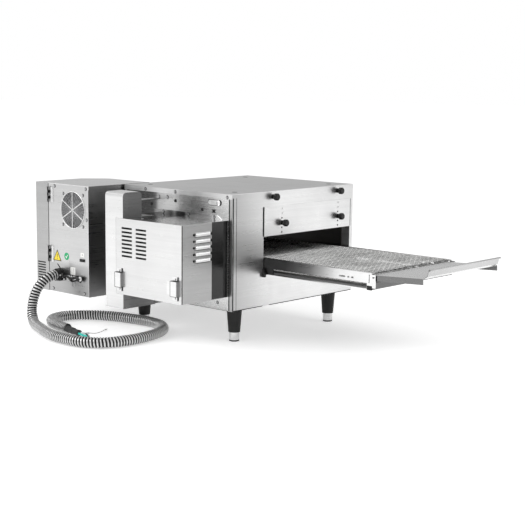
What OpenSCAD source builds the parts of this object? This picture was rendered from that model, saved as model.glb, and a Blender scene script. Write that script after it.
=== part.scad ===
// Countertop conveyor pizza oven: a square insulated chamber on four legs, a wire belt
// running through it, a motor housing and cable column on the rear, a control box beside
// the infeed end and an exit tray at the outfeed end.
// X runs along the conveyor towards the exit tray, Y towards the front, Z up.
// The origin is on the counter, under the middle of the oven.

/* [Body] */
// Length of the oven body along the conveyor
body_l = 480; // [474:1:486]
// Depth of the oven body across the conveyor
body_w = 577; // [570:1:590]
// Height of the oven body above its legs
body_h = 355; // [350:1:370]
// Sheet metal thickness of every folded panel
sheet = 1.5; // [1.2:0.1:1.6]
// Height of the top cover's folded edge
lip_h = 15; // [12:1:18]
// Height of the legs with their feet
leg_h = 102; // [98:1:120]
// Distance of the leg axis from the body's end
leg_in_x = 40; // [36:1:50]
// Distance of the infeed legs' axis from the body's infeed end
leg_in_far = 32; // [30:1:50]
// Distance of the rear legs' axis from the body's rear
leg_in_y = 54; // [48:1:60]
// Distance of the front legs' axis from the body's front
leg_in_front = 72; // [48:1:80]

/* [Belt opening] */
// Rear edge of the opening, measured from the rear wall
open_y = 140; // [138:1:141]
// Width of the opening
open_w = 422; // [416:1:426]
// Lower edge of the opening above the body's underside
open_z = 97; // [92:1:98]
// Height of the opening
open_h = 121; // [118:1:122]
// Length of the short tunnel through the insulation
throat_l = 33; // [30:1:36]

/* [Eyebrow plates] */
// Height of the sliding eyebrow plate
brow_h = 91; // [88:1:94]
// Spacing of the adjusting holes
brow_pitch = 14.7; // [14:0.1:15]
// Height of the clamping knob above the plate's lower edge
brow_knob_z = 37.6; // [36:0.2:39]
// Distance of the rear clamping knob from the plate's rear end
brow_knob_rear = 81; // [70:1:90]
// Distance of the front clamping knob from the plate's front end
brow_knob_front = 64; // [58:1:90]
// Length of a thumb knob from its seat to its cap
knob_l = 23; // [20:0.5:26]

/* [Conveyor] */
// Length of conveyor standing out past each end of the body
reach = 417; // [400:1:430]
// Outside width over the two side rails
rail_w = 405.5; // [400:0.5:406]
// Height of the rails
rail_h = 49; // [48:1:50]
// Height of the rails' lower edge
rail_z = 101; // [101:0.5:102]
// Width of the rails' folded flanges
flange = 11; // [9:1:12]
// Pitch radius of the belt around its end shafts
belt_r = 18; // [17.5:0.1:18.2]
// Thickness of the belt
belt_t = 3; // [2.5:0.1:3]
// Radius of the two conveyor shafts
shaft_r = 6; // [5:0.5:7]
// Distance of the shafts from the ends of the rails
shaft_in = 22; // [22:0.5:24]

/* [Exit tray] */
// Length of the flat part of the tray
tray_l = 175; // [150:1:190]
// Width of the tray
tray_w = 382; // [370:1:390]
// Upward tilt of the tray in degrees
tray_tilt = 3; // [2:0.2:4]
// Depth of the tray's side flanges
tray_side = 17; // [14:1:18]

/* [Motor housing] */
// Distance the housing stands out from the rear wall
house_y = 194; // [180:1:200]
// Left side of the louvred cover, measured from the body's outfeed end
house_x0 = 302; // [296:1:306]
// Right side of the louvred cover, measured from the body's outfeed end
house_x1 = 16; // [14:1:20]
// Lower edge of the housing
house_z0 = 44; // [42:1:48]
// Upper edge of the housing
house_z1 = 276; // [272:1:278]
// Left side of the cable column
col_x0 = 350; // [346:1:354]
// Right side of the cable column
col_x1 = 270; // [268:1:272]
// Depth of the cable column
col_d = 128; // [120:1:132]
// Depth of the cable column above the housing
col_top_d = 76; // [70:1:82]
// Distance of the blower axis from the body's outfeed end
blower_x = 200; // [196:1:204]
// Height of the blower axis
blower_z = 178; // [176:1:180]

/* [Control box] */
// Left side of the hinged control door
ctl_x0 = 755; // [750:1:765]
// Split between the door and the fixed box
ctl_xs = 690; // [688:1:694]
// Right side of the fixed box
ctl_x1 = 490; // [488:1:492]
// Rear face of the control box
ctl_y0 = -145; // [-150:1:-140]
// Front face of the control box
ctl_y1 = 115; // [112:1:115]
// Cooling fan opening radius
fan_r = 57; // [54:1:58]

/* [Hose] */
// Outside radius of the flexible metal conduit
hose_r = 17; // [15:0.5:17.5]

/* [Hidden] */
$fn = 48;

// colours
steel = [0.80, 0.81, 0.82];
steel_dark = [0.55, 0.56, 0.58];
black = [0.10, 0.10, 0.11];
wool = [0.85, 0.82, 0.70];
hot = [0.45, 0.33, 0.28];
green = [0.10, 0.40, 0.20];

// clearances
slide_gap = 0.3;
fit = 0.05;
eps = 0.01;

// cutters reach this far past the face they cut
over = 1;
cut = 5;

// body
mid_body = -body_l / 2;
ret = 10;
wall_h = body_h - sheet;
pan_lip = 22;
bolt_hole = 4.2;
// round dimples pressed into the top cover
dimple_x = [-52, -body_l + 52];
dimple_y = [64, body_w - 64];
dimple_r = 9;
dimple_d = 0.8;
// open screw holes in the rear wall
spare_holes = [[-244, 319], [-353, 302], [-126, 301], [-77, 300]];
spare_r = 3.2;
front_screw_x = [-body_l + 40, mid_body, -40];
front_screw_z = [22, 330];
front_hole = 2.6;

// belt opening
open_y1 = open_y + open_w;
open_z1 = open_z + open_h;
brow_y = open_y + 1;
brow_w = open_w - 2;
brow_z = open_z1 - 1;
brow_knob_z0 = brow_z + brow_knob_z;
brow_knob_y = [brow_y + brow_knob_rear, brow_y + brow_w - brow_knob_front];
brow_down = 30;
brow_up = 15;
brow_hole = 3;
brow_steps = [-2, -1, 1, 2, 3];
panel_knob_y = [180, 495];
panel_knob_z = 338;
shank_r = 3;
shank_hole = 3.3;
shank_l = 14;
knob_r = 11;
knob_head = 11;
knob_neck = 5;
knob_seat = 7.5;
knob_bevel = 2.5;
scallop_r = 3;
pocket_d = 20;
pocket_r = 8;

// liner
liner_x0 = -body_l + throat_l;
liner_x1 = -throat_l;
liner_y0 = 40;
liner_y1 = body_w - 9;
liner_z0 = 40;
liner_z1 = 318;
plenum_y = 130;
duct_l = 400;
duct_z1 = 240;
duct_low_h = 48;
duct_end = 2;
slot_in = 6;
slot_edge = 4;
inlet_r = 48;
inlet_drop = 14;
// grid of jet holes, every second column set over
jet_r = 7;
jet_cols = 8;
jet_rows = 7;
jet_dx = 48;
jet_dy = 56;
jet_first = 36;
jet_stagger = 14;

// blower wheel: its plates at these distances from the rear wall
wheel_r = 70;
wheel_y = [66, 104];
wheel_t = 2;
hub_r = 16;
hub_y = [60, 84];
blade = [14, 1.5];
blade_turn = 25;
eye_r = wheel_r - 18;
blower_shaft_r = 5;
shaft_y = [-40, 86];
motor_flange = [58, 6];
motor_body = [46, 100];
motor_cap = [38, 14];
blower_bore = 14;

// heater rings round the wheel, and the temperature probe
heater_r = 92;
heater_tube = 4;
heater_y = [78, 96];
pin_r = 3;
pin_bore = 7;
pin_y = -22;
probe = [-80, 212];
probe_r = 3;
probe_l = 200;
probe_head = [7, 20];
probe_hole = probe_r + 0.6;

// conveyor
rail_y = open_y + 2;
rail_y1 = rail_y + rail_w;
rail_x0 = -body_l - reach;
rail_x1 = reach;
belt_z = rail_z + 30;
belt_y0 = rail_y + sheet + flange + 0.5;
belt_y1 = rail_y1 - sheet - flange - 0.5;
drive_x = rail_x0 + shaft_in;
idler_x = rail_x1 - shaft_in;
bush_r = 9;
bush_lip = 3;
cup_l = 5;
shaft_end = 6;
// windows in the rails, as [start, length], over the belt's return run
window_z = [3, 19];
windows = [[rail_x0 + 14, 360], [-body_l + 40, 190], [-body_l + 250, 190], [40, 360]];
tab_slot = [22, 5];
tab_slots = [rail_x1 - 118, rail_x1 - 88];
tab_slot_z = 27;
end_slot = [rail_x1 - 11, 4, 20, 44];
rail_ear = [14, 6, 4];
cross_rods = 8;
cross_first = 80;
cross_gap = 165;
cross_r = 4;
wheel_in = 14;
wheel_w = 10;
tray_x0 = 16;
pan_wall = 6;
pan_grip = 18;

// chain
chain_pitch = 9.525;
chain_links = 24;
chain_r = 24.4;
link_y = 4.2;
link_h = 4;
link_t = 1.6;
roller_r = 2.5;
roller_w = 6.8;
tooth_w = 4.4;
sprocket_hub = [11, 9.4];
motor_shaft_r = 5;
motor_shaft_in = 30;
gearbox = [32, 55, 38];
gear_can = [27, 101];
motor_x = drive_x + chain_links * chain_pitch;
chain_y = rail_y - 15.5;
guard_y = rail_y - 24.5;
guard_x1 = -612;
guard_x0 = rail_x0 - 10;
guard_z0 = belt_z - 34;
guard_z1 = belt_z + 34;
shaft_bore = 8;

// exit tray
tray_pivot = [rail_x1 + 7, belt_z + 7];
tray_y0 = rail_y + 4;
tray_in = -6;
tray_up = 5;
stud_r = 3;
lip_w = tray_w - 20;
lip_tip = [22, 26];
lip_curl = 3.2;
lip_knee = [15, 8];
lip_top = [20, 27];
tray_tip = tray_in + tray_l + lip_tip[0];
pan_z = rail_z + sheet + slide_gap;

// control box
door_gap = 1;
fan_x = -566;
fan_z = 275;
fan_size = 119;
fan_depth = 25;
guard_w = 3;
fan_hub = 19;
spider = 4;
rotor_hub = [20, 17, 3];
rotor_blade = [36, 22, 1.8];
rotor_blades = 7;
blade_pitch = 35;
box_lip = 12;
bracket_y = [12, 80];
bracket_z = [60, 280];
bracket = [24, 30];
board_y = [-90, 60];
board_z = [110, 230];
board_t = 1.6;
post_l = 10.4;
post_r = 3;
post_in = 6;
floor_parts = [[-590, 20, 60, 60, 70], [-600, -110, 80, 25, 32], [-585, -60, 60, 60, 52]];
gland_x = -631;
gland_z = 60;
gland_pipe = 12;
gland_nut = [hose_r + 1.5, 24];
gland_plate = [hose_r + 4, 8];
// sockets beside the gland
socket_x = [-574, -547, -520];
socket_r = 9;
socket_l = 16;
label_slot = [-532, 112, 22, 9];
// door: its vents, keys, display window and rocker
vent_x = [-750, -709];
vent_z = 37;
vent_h = 4.4;
vent_pitch = 8.6;
vents = 7;
door_cut_y = 45;
key_y = [-95, -25];
key_z = 232;
key_r = 7;
key_out = 3.5;
key_in = 5;
key_rim = [2, 1.5];
window_y = [-112, -8];
window_zs = [262, 316];
window_rim = 8;
rocker_y = -60;
rocker_z = 160;
rocker_pin_r = 2;
rocker_x = -ctl_x0 + 8;
rocker_half = [12.7, 15];
rocker_r = 18;
ear_t = 3;
ear_y = 14.5;
ear_z = 20;
hinge_r = 4;
hinge_x = -ctl_xs + 6;
hinge_y = ctl_y0 - hinge_r - 0.5;
hinge_z = [[98, 52], [294, 48]];

// legs
leg_xs = [-leg_in_x, -body_l + leg_in_far];
leg_ys = [leg_in_y, body_w - leg_in_front];
leg_top_r = 24;
leg_low_r = 18.5;
foot_h = 29;
leg_part = leg_h - foot_h;
foot_r = 15.5;
stem_r = 8;
foot_travel = 18;
foot_rim = 4;
stem_l = 60;
stud_pocket = [12, 14];
leg_collar = [3, 4];

// motor housing
house_step = -340;
house_flange = 12;
flange_cut = [20, 42];
// slots of the louvred cover: two columns on the rear face, raised strips on the side
slot_cols = [-276, -213];
slot = [46, 6];
slot_pitch = 12.1;
slot_rows = 8;
slot_z = 159.5;
cover_return = 124;
louvre_y = -142;
louvre_l = 62;
louvre_r = 6.5;
louvre_gap = 4;
louvre_z = 167.5;
louvre_pitch = 19.3;
louvre_rows = 5;
column_bend = 12;
col_tie_z = 318;

// the cover's strap brackets: leaf, keeper and its two screwed tabs
strap_t = 10;
strap_x = [-297, -53];
strap_z = 89;
strap_leaf = [24, 20];
keeper = [25, 22];
tab = [22, 13];

// screw heads: [x, z] on the walls, [x, y] on the housing's top
head_r = 3.5;
head_h = 2;
wall_screws = [[-244, 347], [-20, 345], [-380, 347]];
seam_screws = [-74, -186, -297];
lid_screws = [[-190, -100], [-226, -155], [-103, -81]];
rear_screws = [[-319, 327], [-280, 328], [-60, 22], [-220, 22], [-440, 22]];
panel_screws = [[-614, 325], [-516, 325], [-616, 225], [-516, 225], [-658, 346],
                [-502, 346], [-499, 248], [-670, 10], [-512, 10]];

// outside box of the whole oven, used to put the origin under its middle
box_x0 = guard_x0;
box_x1 = tray_pivot[0] + tray_tip * cos(tray_tilt)
         - (tray_up + lip_tip[1]) * sin(tray_tilt) + lip_curl;
box_y0 = -house_y - strap_t;
box_y1 = body_w + head_h;
mid_x = (box_x0 + box_x1) / 2;
mid_y = (box_y0 + box_y1) / 2;

module placed() {
    translate([-mid_x, -mid_y, leg_h])
        children();
}

// mirrors a piece about the middle of the body, along the conveyor
module infeed_side() {
    translate([-body_l, 0, 0])
        mirror([1, 0, 0])
            children();
}

// cylinder along +X, +Y
module rod_x(p, r, l) {
    translate(p)
        rotate([0, 90, 0])
            cylinder(r = r, h = l);
}

module rod_y(p, r, l) {
    translate(p)
        rotate([-90, 0, 0])
            cylinder(r = r, h = l);
}

module rod_z(p, r, l) {
    translate(p)
        cylinder(r = r, h = l);
}

module box(p0, p1) {
    translate(p0)
        cube(p1 - p0);
}

// folded box with walls of sheet thickness on all six sides
module shell(p0, p1, t = sheet) {
    difference() {
        box(p0, p1);
        box(p0 + [t, t, t], p1 - [t, t, t]);
    }
}

// ---------------------------------------------------------------- body

module base_pan() placed() color(steel_dark) {
    difference() {
        box([-body_l + sheet, sheet, 0], [-sheet, body_w - sheet, pan_lip]);
        box([-body_l + 2 * sheet, 2 * sheet, sheet],
            [-2 * sheet, body_w - 2 * sheet, pan_lip + over]);
        for (x = leg_xs, y = leg_ys)
            rod_z([x, y, -over], bolt_hole, cut);
    }
}

module rear_panel() placed() color(steel)
    difference() {
        box([-body_l + ret + 1, 0, 0], [-ret - 1, sheet, wall_h]);
        rod_y([-blower_x, -over, blower_z], blower_bore, cut);
        for (dx = [-heater_r, heater_r])
            rod_y([-blower_x + dx, -over, blower_z], pin_bore, cut);
        rod_y([probe[0], -over, probe[1]], probe_hole, cut);
        for (p = spare_holes)
            rod_y([p[0], -over, p[1]], spare_r, cut);
    }

module front_panel() placed() color(steel)
    difference() {
        box([-body_l + ret + 1, body_w - sheet, 0], [-ret - 1, body_w, wall_h]);
        for (x = front_screw_x, z = front_screw_z)
            rod_y([x, body_w - sheet - over, z], front_hole, cut);
    }

module top_cover() placed() color(steel)
    difference() {
        box([-body_l, -sheet, body_h - lip_h], [0, body_w + sheet, body_h]);
        box([-body_l - over, 0, body_h - lip_h - over], [over, body_w, wall_h]);
        for (x = dimple_x, y = dimple_y)
            rod_z([x, y, body_h - dimple_d], dimple_r, over);
    }

module end_panel() difference() {
    union() {
        box([-sheet, 0, 0], [0, body_w, wall_h]);
        for (y = [0, body_w - sheet])
            box([-ret, y, 0], [0, y + sheet, wall_h]);
        box([-throat_l, open_y - sheet, open_z - sheet],
            [0, open_y1 + sheet, open_z1 + sheet]);
    }
    box([-throat_l - over, open_y, open_z], [over, open_y1, open_z1]);
    for (y = brow_knob_y)
        box([-sheet - over, y - shank_hole, brow_knob_z0 - brow_down - shank_hole],
            [over, y + shank_hole, brow_knob_z0 + brow_up + shank_hole]);
    for (y = panel_knob_y)
        rod_x([-2 * sheet, y, panel_knob_z], shank_hole, cut);
}

module outfeed_end_panel() placed() color(steel) end_panel();

module infeed_end_panel() placed() color(steel) infeed_side() end_panel();

module inner_liner() placed() color(hot) {
    difference() {
        shell([liner_x0, liner_y0, liner_z0], [liner_x1, liner_y1, liner_z1]);
        box([liner_x0 - over, open_y, open_z], [liner_x1 + over, open_y1, open_z1]);
        rod_y([-blower_x, liner_y0 - over, blower_z], 2 * blower_shaft_r, cut);
        for (dx = [-heater_r, heater_r])
            rod_y([-blower_x + dx, liner_y0 - over, blower_z], pin_bore - 2, cut);
        rod_y([probe[0], liner_y0 - over, probe[1]], probe_hole, cut);
    }
    difference() {
        box([liner_x0 + sheet, plenum_y, liner_z0 + sheet],
            [liner_x1 - sheet, plenum_y + sheet, liner_z1 - sheet]);
        rod_y([-blower_x, plenum_y - over, blower_z - inlet_drop], inlet_r, cut);
        rod_y([probe[0], plenum_y - over, probe[1]], probe_hole, cut);
        for (z = [[liner_z0 + slot_in, liner_z0 + duct_low_h - slot_edge],
                  [duct_z1 + slot_edge, liner_z1 - slot_in]])
            box([mid_body - duct_l / 2 + slot_in, plenum_y - over, z[0]],
                [mid_body + duct_l / 2 - slot_in, plenum_y + cut, z[1]]);
    }
}

// pockets in the insulation behind one end panel
module knob_pockets() {
    for (y = brow_knob_y)
        box([-pocket_d, y - pocket_r, brow_knob_z0 - brow_down - pocket_r],
            [0, y + pocket_r, brow_knob_z0 + brow_up + pocket_r]);
    for (y = panel_knob_y)
        box([-pocket_d, y - pocket_r, panel_knob_z - pocket_r],
            [0, y + pocket_r, panel_knob_z + pocket_r]);
}

module insulation() placed() color(wool)
    difference() {
        box([-body_l + 2 * sheet, 2 * sheet, sheet],
            [-2 * sheet, body_w - 2 * sheet, wall_h - 1]);
        box([liner_x0, liner_y0, liner_z0], [liner_x1, liner_y1, liner_z1]);
        box([-body_l, open_y - sheet, open_z - sheet],
            [0, open_y1 + sheet, open_z1 + sheet]);
        rod_y([-blower_x, 0, blower_z], blower_bore + 2, liner_y0 + over);
        for (dx = [-heater_r, heater_r])
            rod_y([-blower_x + dx, 0, blower_z], pin_bore, liner_y0 + over);
        rod_y([probe[0], 0, probe[1]], probe_hole, liner_y0 + over);
        knob_pockets();
        infeed_side() knob_pockets();
        for (x = leg_xs, y = leg_ys)
            rod_z([x, y, 0], stud_pocket[0], stud_pocket[1]);
    }

// ---------------------------------------------------------------- air system

// hollow jet plate box, open towards the plenum, holes in the face at z = jet_z
module air_duct(z0, z1, jet_z) difference() {
    box([mid_body - duct_l / 2, plenum_y + sheet, z0],
        [mid_body + duct_l / 2, open_y1 - duct_end, z1]);
    box([mid_body - duct_l / 2 + sheet, plenum_y, z0 + sheet],
        [mid_body + duct_l / 2 - sheet, open_y1 - duct_end - sheet, z1 - sheet]);
    for (i = [0 : jet_cols - 1], j = [0 : jet_rows - 1])
        rod_z([mid_body + (i - (jet_cols - 1) / 2) * jet_dx,
               open_y + jet_first + j * jet_dy + (i % 2) * jet_stagger, jet_z - 2 * over],
              jet_r, 4 * over);
}

module upper_air_duct() placed() color(steel_dark)
    air_duct(duct_z1, liner_z1 - sheet, duct_z1);

module lower_air_duct() placed() color(steel_dark)
    air_duct(liner_z0 + sheet, liner_z0 + duct_low_h, liner_z0 + duct_low_h);

module blower_wheel() placed() color(steel_dark)
    translate([-blower_x, 0, blower_z])
        rotate([-90, 0, 0]) {
            difference() {
                union() {
                    translate([0, 0, wheel_y[0]])
                        cylinder(r = wheel_r, h = wheel_t);
                    translate([0, 0, hub_y[0]])
                        cylinder(r = hub_r, h = hub_y[1] - hub_y[0]);
                }
                translate([0, 0, shaft_y[0]])
                    cylinder(r = blower_shaft_r, h = shaft_y[1] - shaft_y[0]);
            }
            translate([0, 0, shaft_y[0]])
                cylinder(r = blower_shaft_r, h = shaft_y[1] - shaft_y[0]);
            translate([0, 0, wheel_y[1]])
                difference() {
                    cylinder(r = wheel_r, h = wheel_t);
                    translate([0, 0, -over])
                        cylinder(r = eye_r, h = cut);
                }
            for (a = [0:15:345])
                rotate([0, 0, a])
                    translate([wheel_r - blade[0] - 2, -over, wheel_y[0] + wheel_t])
                        rotate([0, 0, blade_turn])
                            cube([blade[0], blade[1], wheel_y[1] - wheel_y[0] - wheel_t]);
        }

module blower_motor() placed() color(steel_dark)
    translate([-blower_x, 0, blower_z])
        rotate([90, 0, 0])
            difference() {
                union() {
                    cylinder(r = motor_flange[0], h = motor_flange[1]);
                    cylinder(r = motor_body[0], h = motor_flange[1] + motor_body[1]);
                    translate([0, 0, motor_flange[1] + motor_body[1]])
                        cylinder(r = motor_cap[0], h = motor_cap[1]);
                }
                translate([0, 0, -over])
                    cylinder(r = blower_shaft_r + fit, h = over + cut - shaft_y[0]);
            }

module heater_element() placed() color(hot) {
    for (y = heater_y)
        translate([-blower_x, y, blower_z])
            rotate([-90, 0, 0])
                rotate_extrude()
                    translate([heater_r, 0])
                        circle(r = heater_tube, $fn = 24);
    for (dx = [-heater_r, heater_r])
        rod_y([-blower_x + dx, pin_y, blower_z], pin_r, heater_y[1] - pin_y);
}

module temperature_probe() placed() color(steel) {
    rod_y([probe[0], -probe_head[1] + 2 * probe_r, probe[1]], probe_r, probe_l);
    rod_y([probe[0], -probe_head[1], probe[1]], probe_head[0], probe_head[1] - eps);
}

// ---------------------------------------------------------------- eyebrows and knobs

module eyebrow() difference() {
    box([slide_gap, brow_y, brow_z], [slide_gap + sheet, brow_y + brow_w, brow_z + brow_h]);
    for (y = brow_knob_y) {
        rod_x([-over, y, brow_knob_z0], shank_r + fit, cut);
        for (i = brow_steps)
            rod_x([-over, y, brow_knob_z0 + i * brow_pitch], brow_hole, cut);
    }
}

module outfeed_eyebrow() placed() color(steel) eyebrow();

module infeed_eyebrow() placed() color(steel) infeed_side() eyebrow();

// scalloped thumb knob with its seat at x0
module thumb_knob(y, z, x0)
    translate([x0, y, z])
        rotate([0, 90, 0])
            difference() {
                union() {
                    translate([0, 0, -shank_l])
                        cylinder(r = shank_r, h = shank_l + knob_neck);
                    cylinder(r = knob_seat, h = 3);
                    cylinder(r = knob_neck, h = knob_l - knob_head);
                    translate([0, 0, knob_l - knob_head - 3])
                        cylinder(r1 = knob_r - 3, r2 = knob_r, h = 3);
                    translate([0, 0, knob_l - knob_head])
                        cylinder(r = knob_r, h = knob_head - knob_bevel);
                    translate([0, 0, knob_l - knob_bevel])
                        cylinder(r1 = knob_r, r2 = knob_r - knob_bevel, h = knob_bevel);
                }
                for (a = [0:45:315])
                    rotate([0, 0, a])
                        translate([knob_r + scallop_r / 2, 0, knob_l - knob_head - 4])
                            cylinder(r = scallop_r, h = knob_head + cut);
            }

module brow_knob(i)
    thumb_knob(brow_knob_y[i], brow_knob_z0, slide_gap + sheet);

module panel_knob(i)
    thumb_knob(panel_knob_y[i], panel_knob_z, 0);

module outfeed_brow_knob_rear() placed() color(black) brow_knob(0);

module outfeed_brow_knob_front() placed() color(black) brow_knob(1);

module infeed_brow_knob_rear() placed() color(black) infeed_side() brow_knob(0);

module infeed_brow_knob_front() placed() color(black) infeed_side() brow_knob(1);

module outfeed_panel_knob_rear() placed() color(black) panel_knob(0);

module outfeed_panel_knob_front() placed() color(black) panel_knob(1);

module infeed_panel_knob_rear() placed() color(black) infeed_side() panel_knob(0);

module infeed_panel_knob_front() placed() color(black) infeed_side() panel_knob(1);

// ---------------------------------------------------------------- conveyor

// one side rail: a channel with a long window for the belt's return run
module side_rail() difference() {
    union() {
        box([rail_x0, rail_y, rail_z], [rail_x1, rail_y + sheet, rail_z + rail_h]);
        for (z = [rail_z, rail_z + rail_h - sheet])
            box([rail_x0, rail_y, z], [rail_x1, rail_y + flange + sheet, z + sheet]);
        box([rail_x1, rail_y, rail_z + rail_ear[1]],
            [rail_x1 + rail_ear[0], rail_y + sheet, rail_z + rail_h - rail_ear[2]]);
    }
    for (w = windows)
        box([w[0], rail_y - over, rail_z + window_z[0]],
            [w[0] + w[1], rail_y + sheet + over, rail_z + window_z[1]]);
    rod_y([drive_x, rail_y - over, belt_z], bush_r, cut);
    rod_y([tray_pivot[0], rail_y - over, tray_pivot[1]], stud_r + fit, cut);
    for (x = tab_slots)
        box([x, rail_y - over, rail_z + tab_slot_z],
            [x + tab_slot[0], rail_y + sheet + over, rail_z + tab_slot_z + tab_slot[1]]);
    // upright slot beside the rail's end
    box([end_slot[0], rail_y - over, rail_z + end_slot[2]],
        [end_slot[0] + end_slot[1], rail_y + sheet + over, rail_z + end_slot[3]]);
}

module conveyor_frame() placed() color(steel) {
    side_rail();
    translate([0, rail_y + rail_y1, 0])
        mirror([0, 1, 0])
            side_rail();
    // feet on the sills of both openings
    for (x = [-throat_l + 5, -body_l], y = [rail_y, rail_y1 - flange])
        box([x, y, open_z], [x + throat_l - 5, y + flange, rail_z]);
    for (i = [0 : cross_rods - 1])
        rod_y([rail_x0 + cross_first + i * cross_gap, rail_y + sheet, belt_z], cross_r,
              rail_w - 2 * sheet);
}

// closed loop of a band round the two shafts
module loop_2d(x0, x1, r) {
    translate([x0, 0])
        circle(r = r);
    translate([x1, 0])
        circle(r = r);
    translate([x0, -r])
        square([x1 - x0, 2 * r]);
}

module loop_band(x0, x1, ro, ri, y0, y1)
    translate([0, y1, belt_z])
        rotate([90, 0, 0])
            linear_extrude(y1 - y0)
                difference() {
                    loop_2d(x0, x1, ro);
                    loop_2d(x0, x1, ri);
                }

module wire_belt() placed() color(steel_dark)
    loop_band(drive_x, idler_x, belt_r + belt_t / 2, belt_r - belt_t / 2, belt_y0, belt_y1);

// five toothed belt wheels on a shaft
module belt_wheels(x)
    for (i = [0:4])
        rod_y([x, belt_y0 + wheel_in + i * (belt_y1 - belt_y0 - 2 * wheel_in - wheel_w) / 4, belt_z],
              belt_r - belt_t / 2 - slide_gap, wheel_w);

module drive_shaft() placed() color(steel_dark) {
    rod_y([drive_x, chain_y - shaft_end, belt_z], shaft_r, rail_y1 - chain_y + 2 * shaft_end);
    belt_wheels(drive_x);
    sprocket(drive_x);
}

module idler_shaft() placed() color(steel_dark) {
    rod_y([idler_x, rail_y + sheet + slide_gap, belt_z], shaft_r,
          rail_w - 2 * sheet - 2 * slide_gap);
    belt_wheels(idler_x);
}

// flanged bushes through the rails for the drive shaft, cups inside them for the idler
module shaft_bushings() placed() color(wool)
    difference() {
        union() {
            rod_y([drive_x, rail_y - bush_lip, belt_z], bush_r + bush_lip, bush_lip);
            rod_y([drive_x, rail_y, belt_z], bush_r, sheet + over);
            rod_y([drive_x, rail_y1, belt_z], bush_r + bush_lip, bush_lip);
            rod_y([drive_x, rail_y1 - sheet - over, belt_z], bush_r, sheet + over);
            rod_y([idler_x, rail_y + sheet, belt_z], bush_r, cup_l);
            rod_y([idler_x, rail_y1 - sheet - cup_l, belt_z], bush_r, cup_l);
        }
        for (x = [drive_x, idler_x])
            rod_y([x, rail_y - cut, belt_z], shaft_r + fit, rail_w + 2 * cut);
    }

// 16 tooth chain wheel, its rim notched for the rollers
module sprocket(x)
    translate([x, chain_y + tooth_w / 2, belt_z])
        rotate([90, 0, 0])
            difference() {
                union() {
                    cylinder(r = chain_r - roller_r - slide_gap, h = tooth_w);
                    translate([0, 0, (tooth_w - sprocket_hub[1]) / 2])
                        cylinder(r = sprocket_hub[0], h = sprocket_hub[1]);
                }
                for (a = [0:22.5:337.5])
                    rotate([0, 0, a])
                        translate([chain_r - over, 0, -over])
                            cylinder(r = roller_r + 0.1, h = tooth_w + 2 * over, $fn = 24);
            }

module drive_chain() placed() color(steel_dark) {
    for (s = [-1, 1])
        loop_band(drive_x, motor_x, chain_r + link_h, chain_r - link_h,
                  chain_y + s * link_y - link_t / 2, chain_y + s * link_y + link_t / 2);
    for (i = [0:chain_links], s = [-1, 1])
        rod_y([drive_x + i * chain_pitch, chain_y - roller_w / 2, belt_z + s * chain_r],
              roller_r, roller_w);
    for (a = [22.5:22.5:157.5], s = [-1, 1])
        rod_y([(s < 0 ? drive_x : motor_x) + s * chain_r * sin(a), chain_y - roller_w / 2,
               belt_z + chain_r * cos(a)], roller_r, roller_w);
}

module motor_sprocket() placed() color(steel_dark) {
    sprocket(motor_x);
    rod_y([motor_x, ctl_y1 - motor_shaft_in, belt_z], motor_shaft_r,
          chain_y + shaft_end - ctl_y1 + motor_shaft_in);
}

module gear_motor() placed() color(steel_dark)
    difference() {
        union() {
            box([motor_x - gearbox[0], ctl_y1 - sheet - gearbox[1], belt_z - gearbox[0]],
                [motor_x + gearbox[0], ctl_y1 - sheet, belt_z + gearbox[2]]);
            rod_y([motor_x, ctl_y1 - sheet - gearbox[1] - gear_can[1] + over,
                   belt_z + shaft_end], gear_can[0], gear_can[1]);
        }
        rod_y([motor_x, ctl_y1 - motor_shaft_in - 2, belt_z], motor_shaft_r + fit,
              motor_shaft_in + 10);
    }

module chain_guard() placed() color(steel)
    difference() {
        shell([guard_x0, guard_y, guard_z0], [guard_x1, rail_y + bush_r, guard_z1]);
        box([guard_x0 - over, rail_y, guard_z0 - over],
            [guard_x1 + over, rail_y + bush_r + over, guard_z1 + over]);
        rod_y([motor_x, guard_y - over, belt_z], shaft_bore, cut);
    }

module crumb_tray() {
    difference() {
        box([tray_x0, rail_y + sheet + slide_gap, pan_z],
            [rail_x1 + 1, rail_y1 - sheet - slide_gap, pan_z + pan_wall]);
        box([tray_x0 + sheet, rail_y + 2 * sheet + slide_gap, pan_z + sheet],
            [rail_x1 + 2, rail_y1 - 2 * sheet - slide_gap, pan_z + pan_wall + over]);
    }
    box([rail_x1 + 1, rail_y + sheet + slide_gap, pan_z - 1],
        [rail_x1 + 1 + sheet, rail_y1 - sheet - slide_gap, pan_z + pan_grip]);
}

module crumb_tray_outfeed() placed() color(steel) crumb_tray();

module crumb_tray_infeed() placed() color(steel) infeed_side() crumb_tray();

// ---------------------------------------------------------------- exit tray

module exit_tray() placed() color(steel)
    translate([tray_pivot[0], 0, tray_pivot[1]])
        rotate([0, -tray_tilt, 0]) {
            // flat plate, its outer end folded up into a curled lip
            box([tray_in, tray_y0, tray_up], [tray_in + tray_l, tray_y0 + tray_w, tray_up + sheet]);
            translate([tray_in + tray_l, tray_y0 + lip_w, tray_up])
                rotate([90, 0, 0])
                    linear_extrude(lip_w)
                        polygon([[-2, 0], [0, 0], lip_knee, lip_top, lip_top + [-sheet, 0.4],
                                 lip_knee + [-1.3, 1.2], [0, sheet], [-2, sheet]]);
            rod_y([tray_in + tray_l + lip_tip[0], tray_y0, tray_up + lip_tip[1]], lip_curl, lip_w);
            for (y = [tray_y0, tray_y0 + tray_w - sheet])
                box([tray_in + 2, y, tray_up + sheet - tray_side],
                    [tray_in + tray_l, y + sheet, tray_up + sheet]);
            // hinge studs
            rod_y([0, rail_y - 2, 0], stud_r, tray_y0 + sheet - rail_y + 2);
            rod_y([0, tray_y0 + tray_w - sheet, 0], stud_r, rail_y1 + 2 + sheet - tray_y0 - tray_w);
        }

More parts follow.
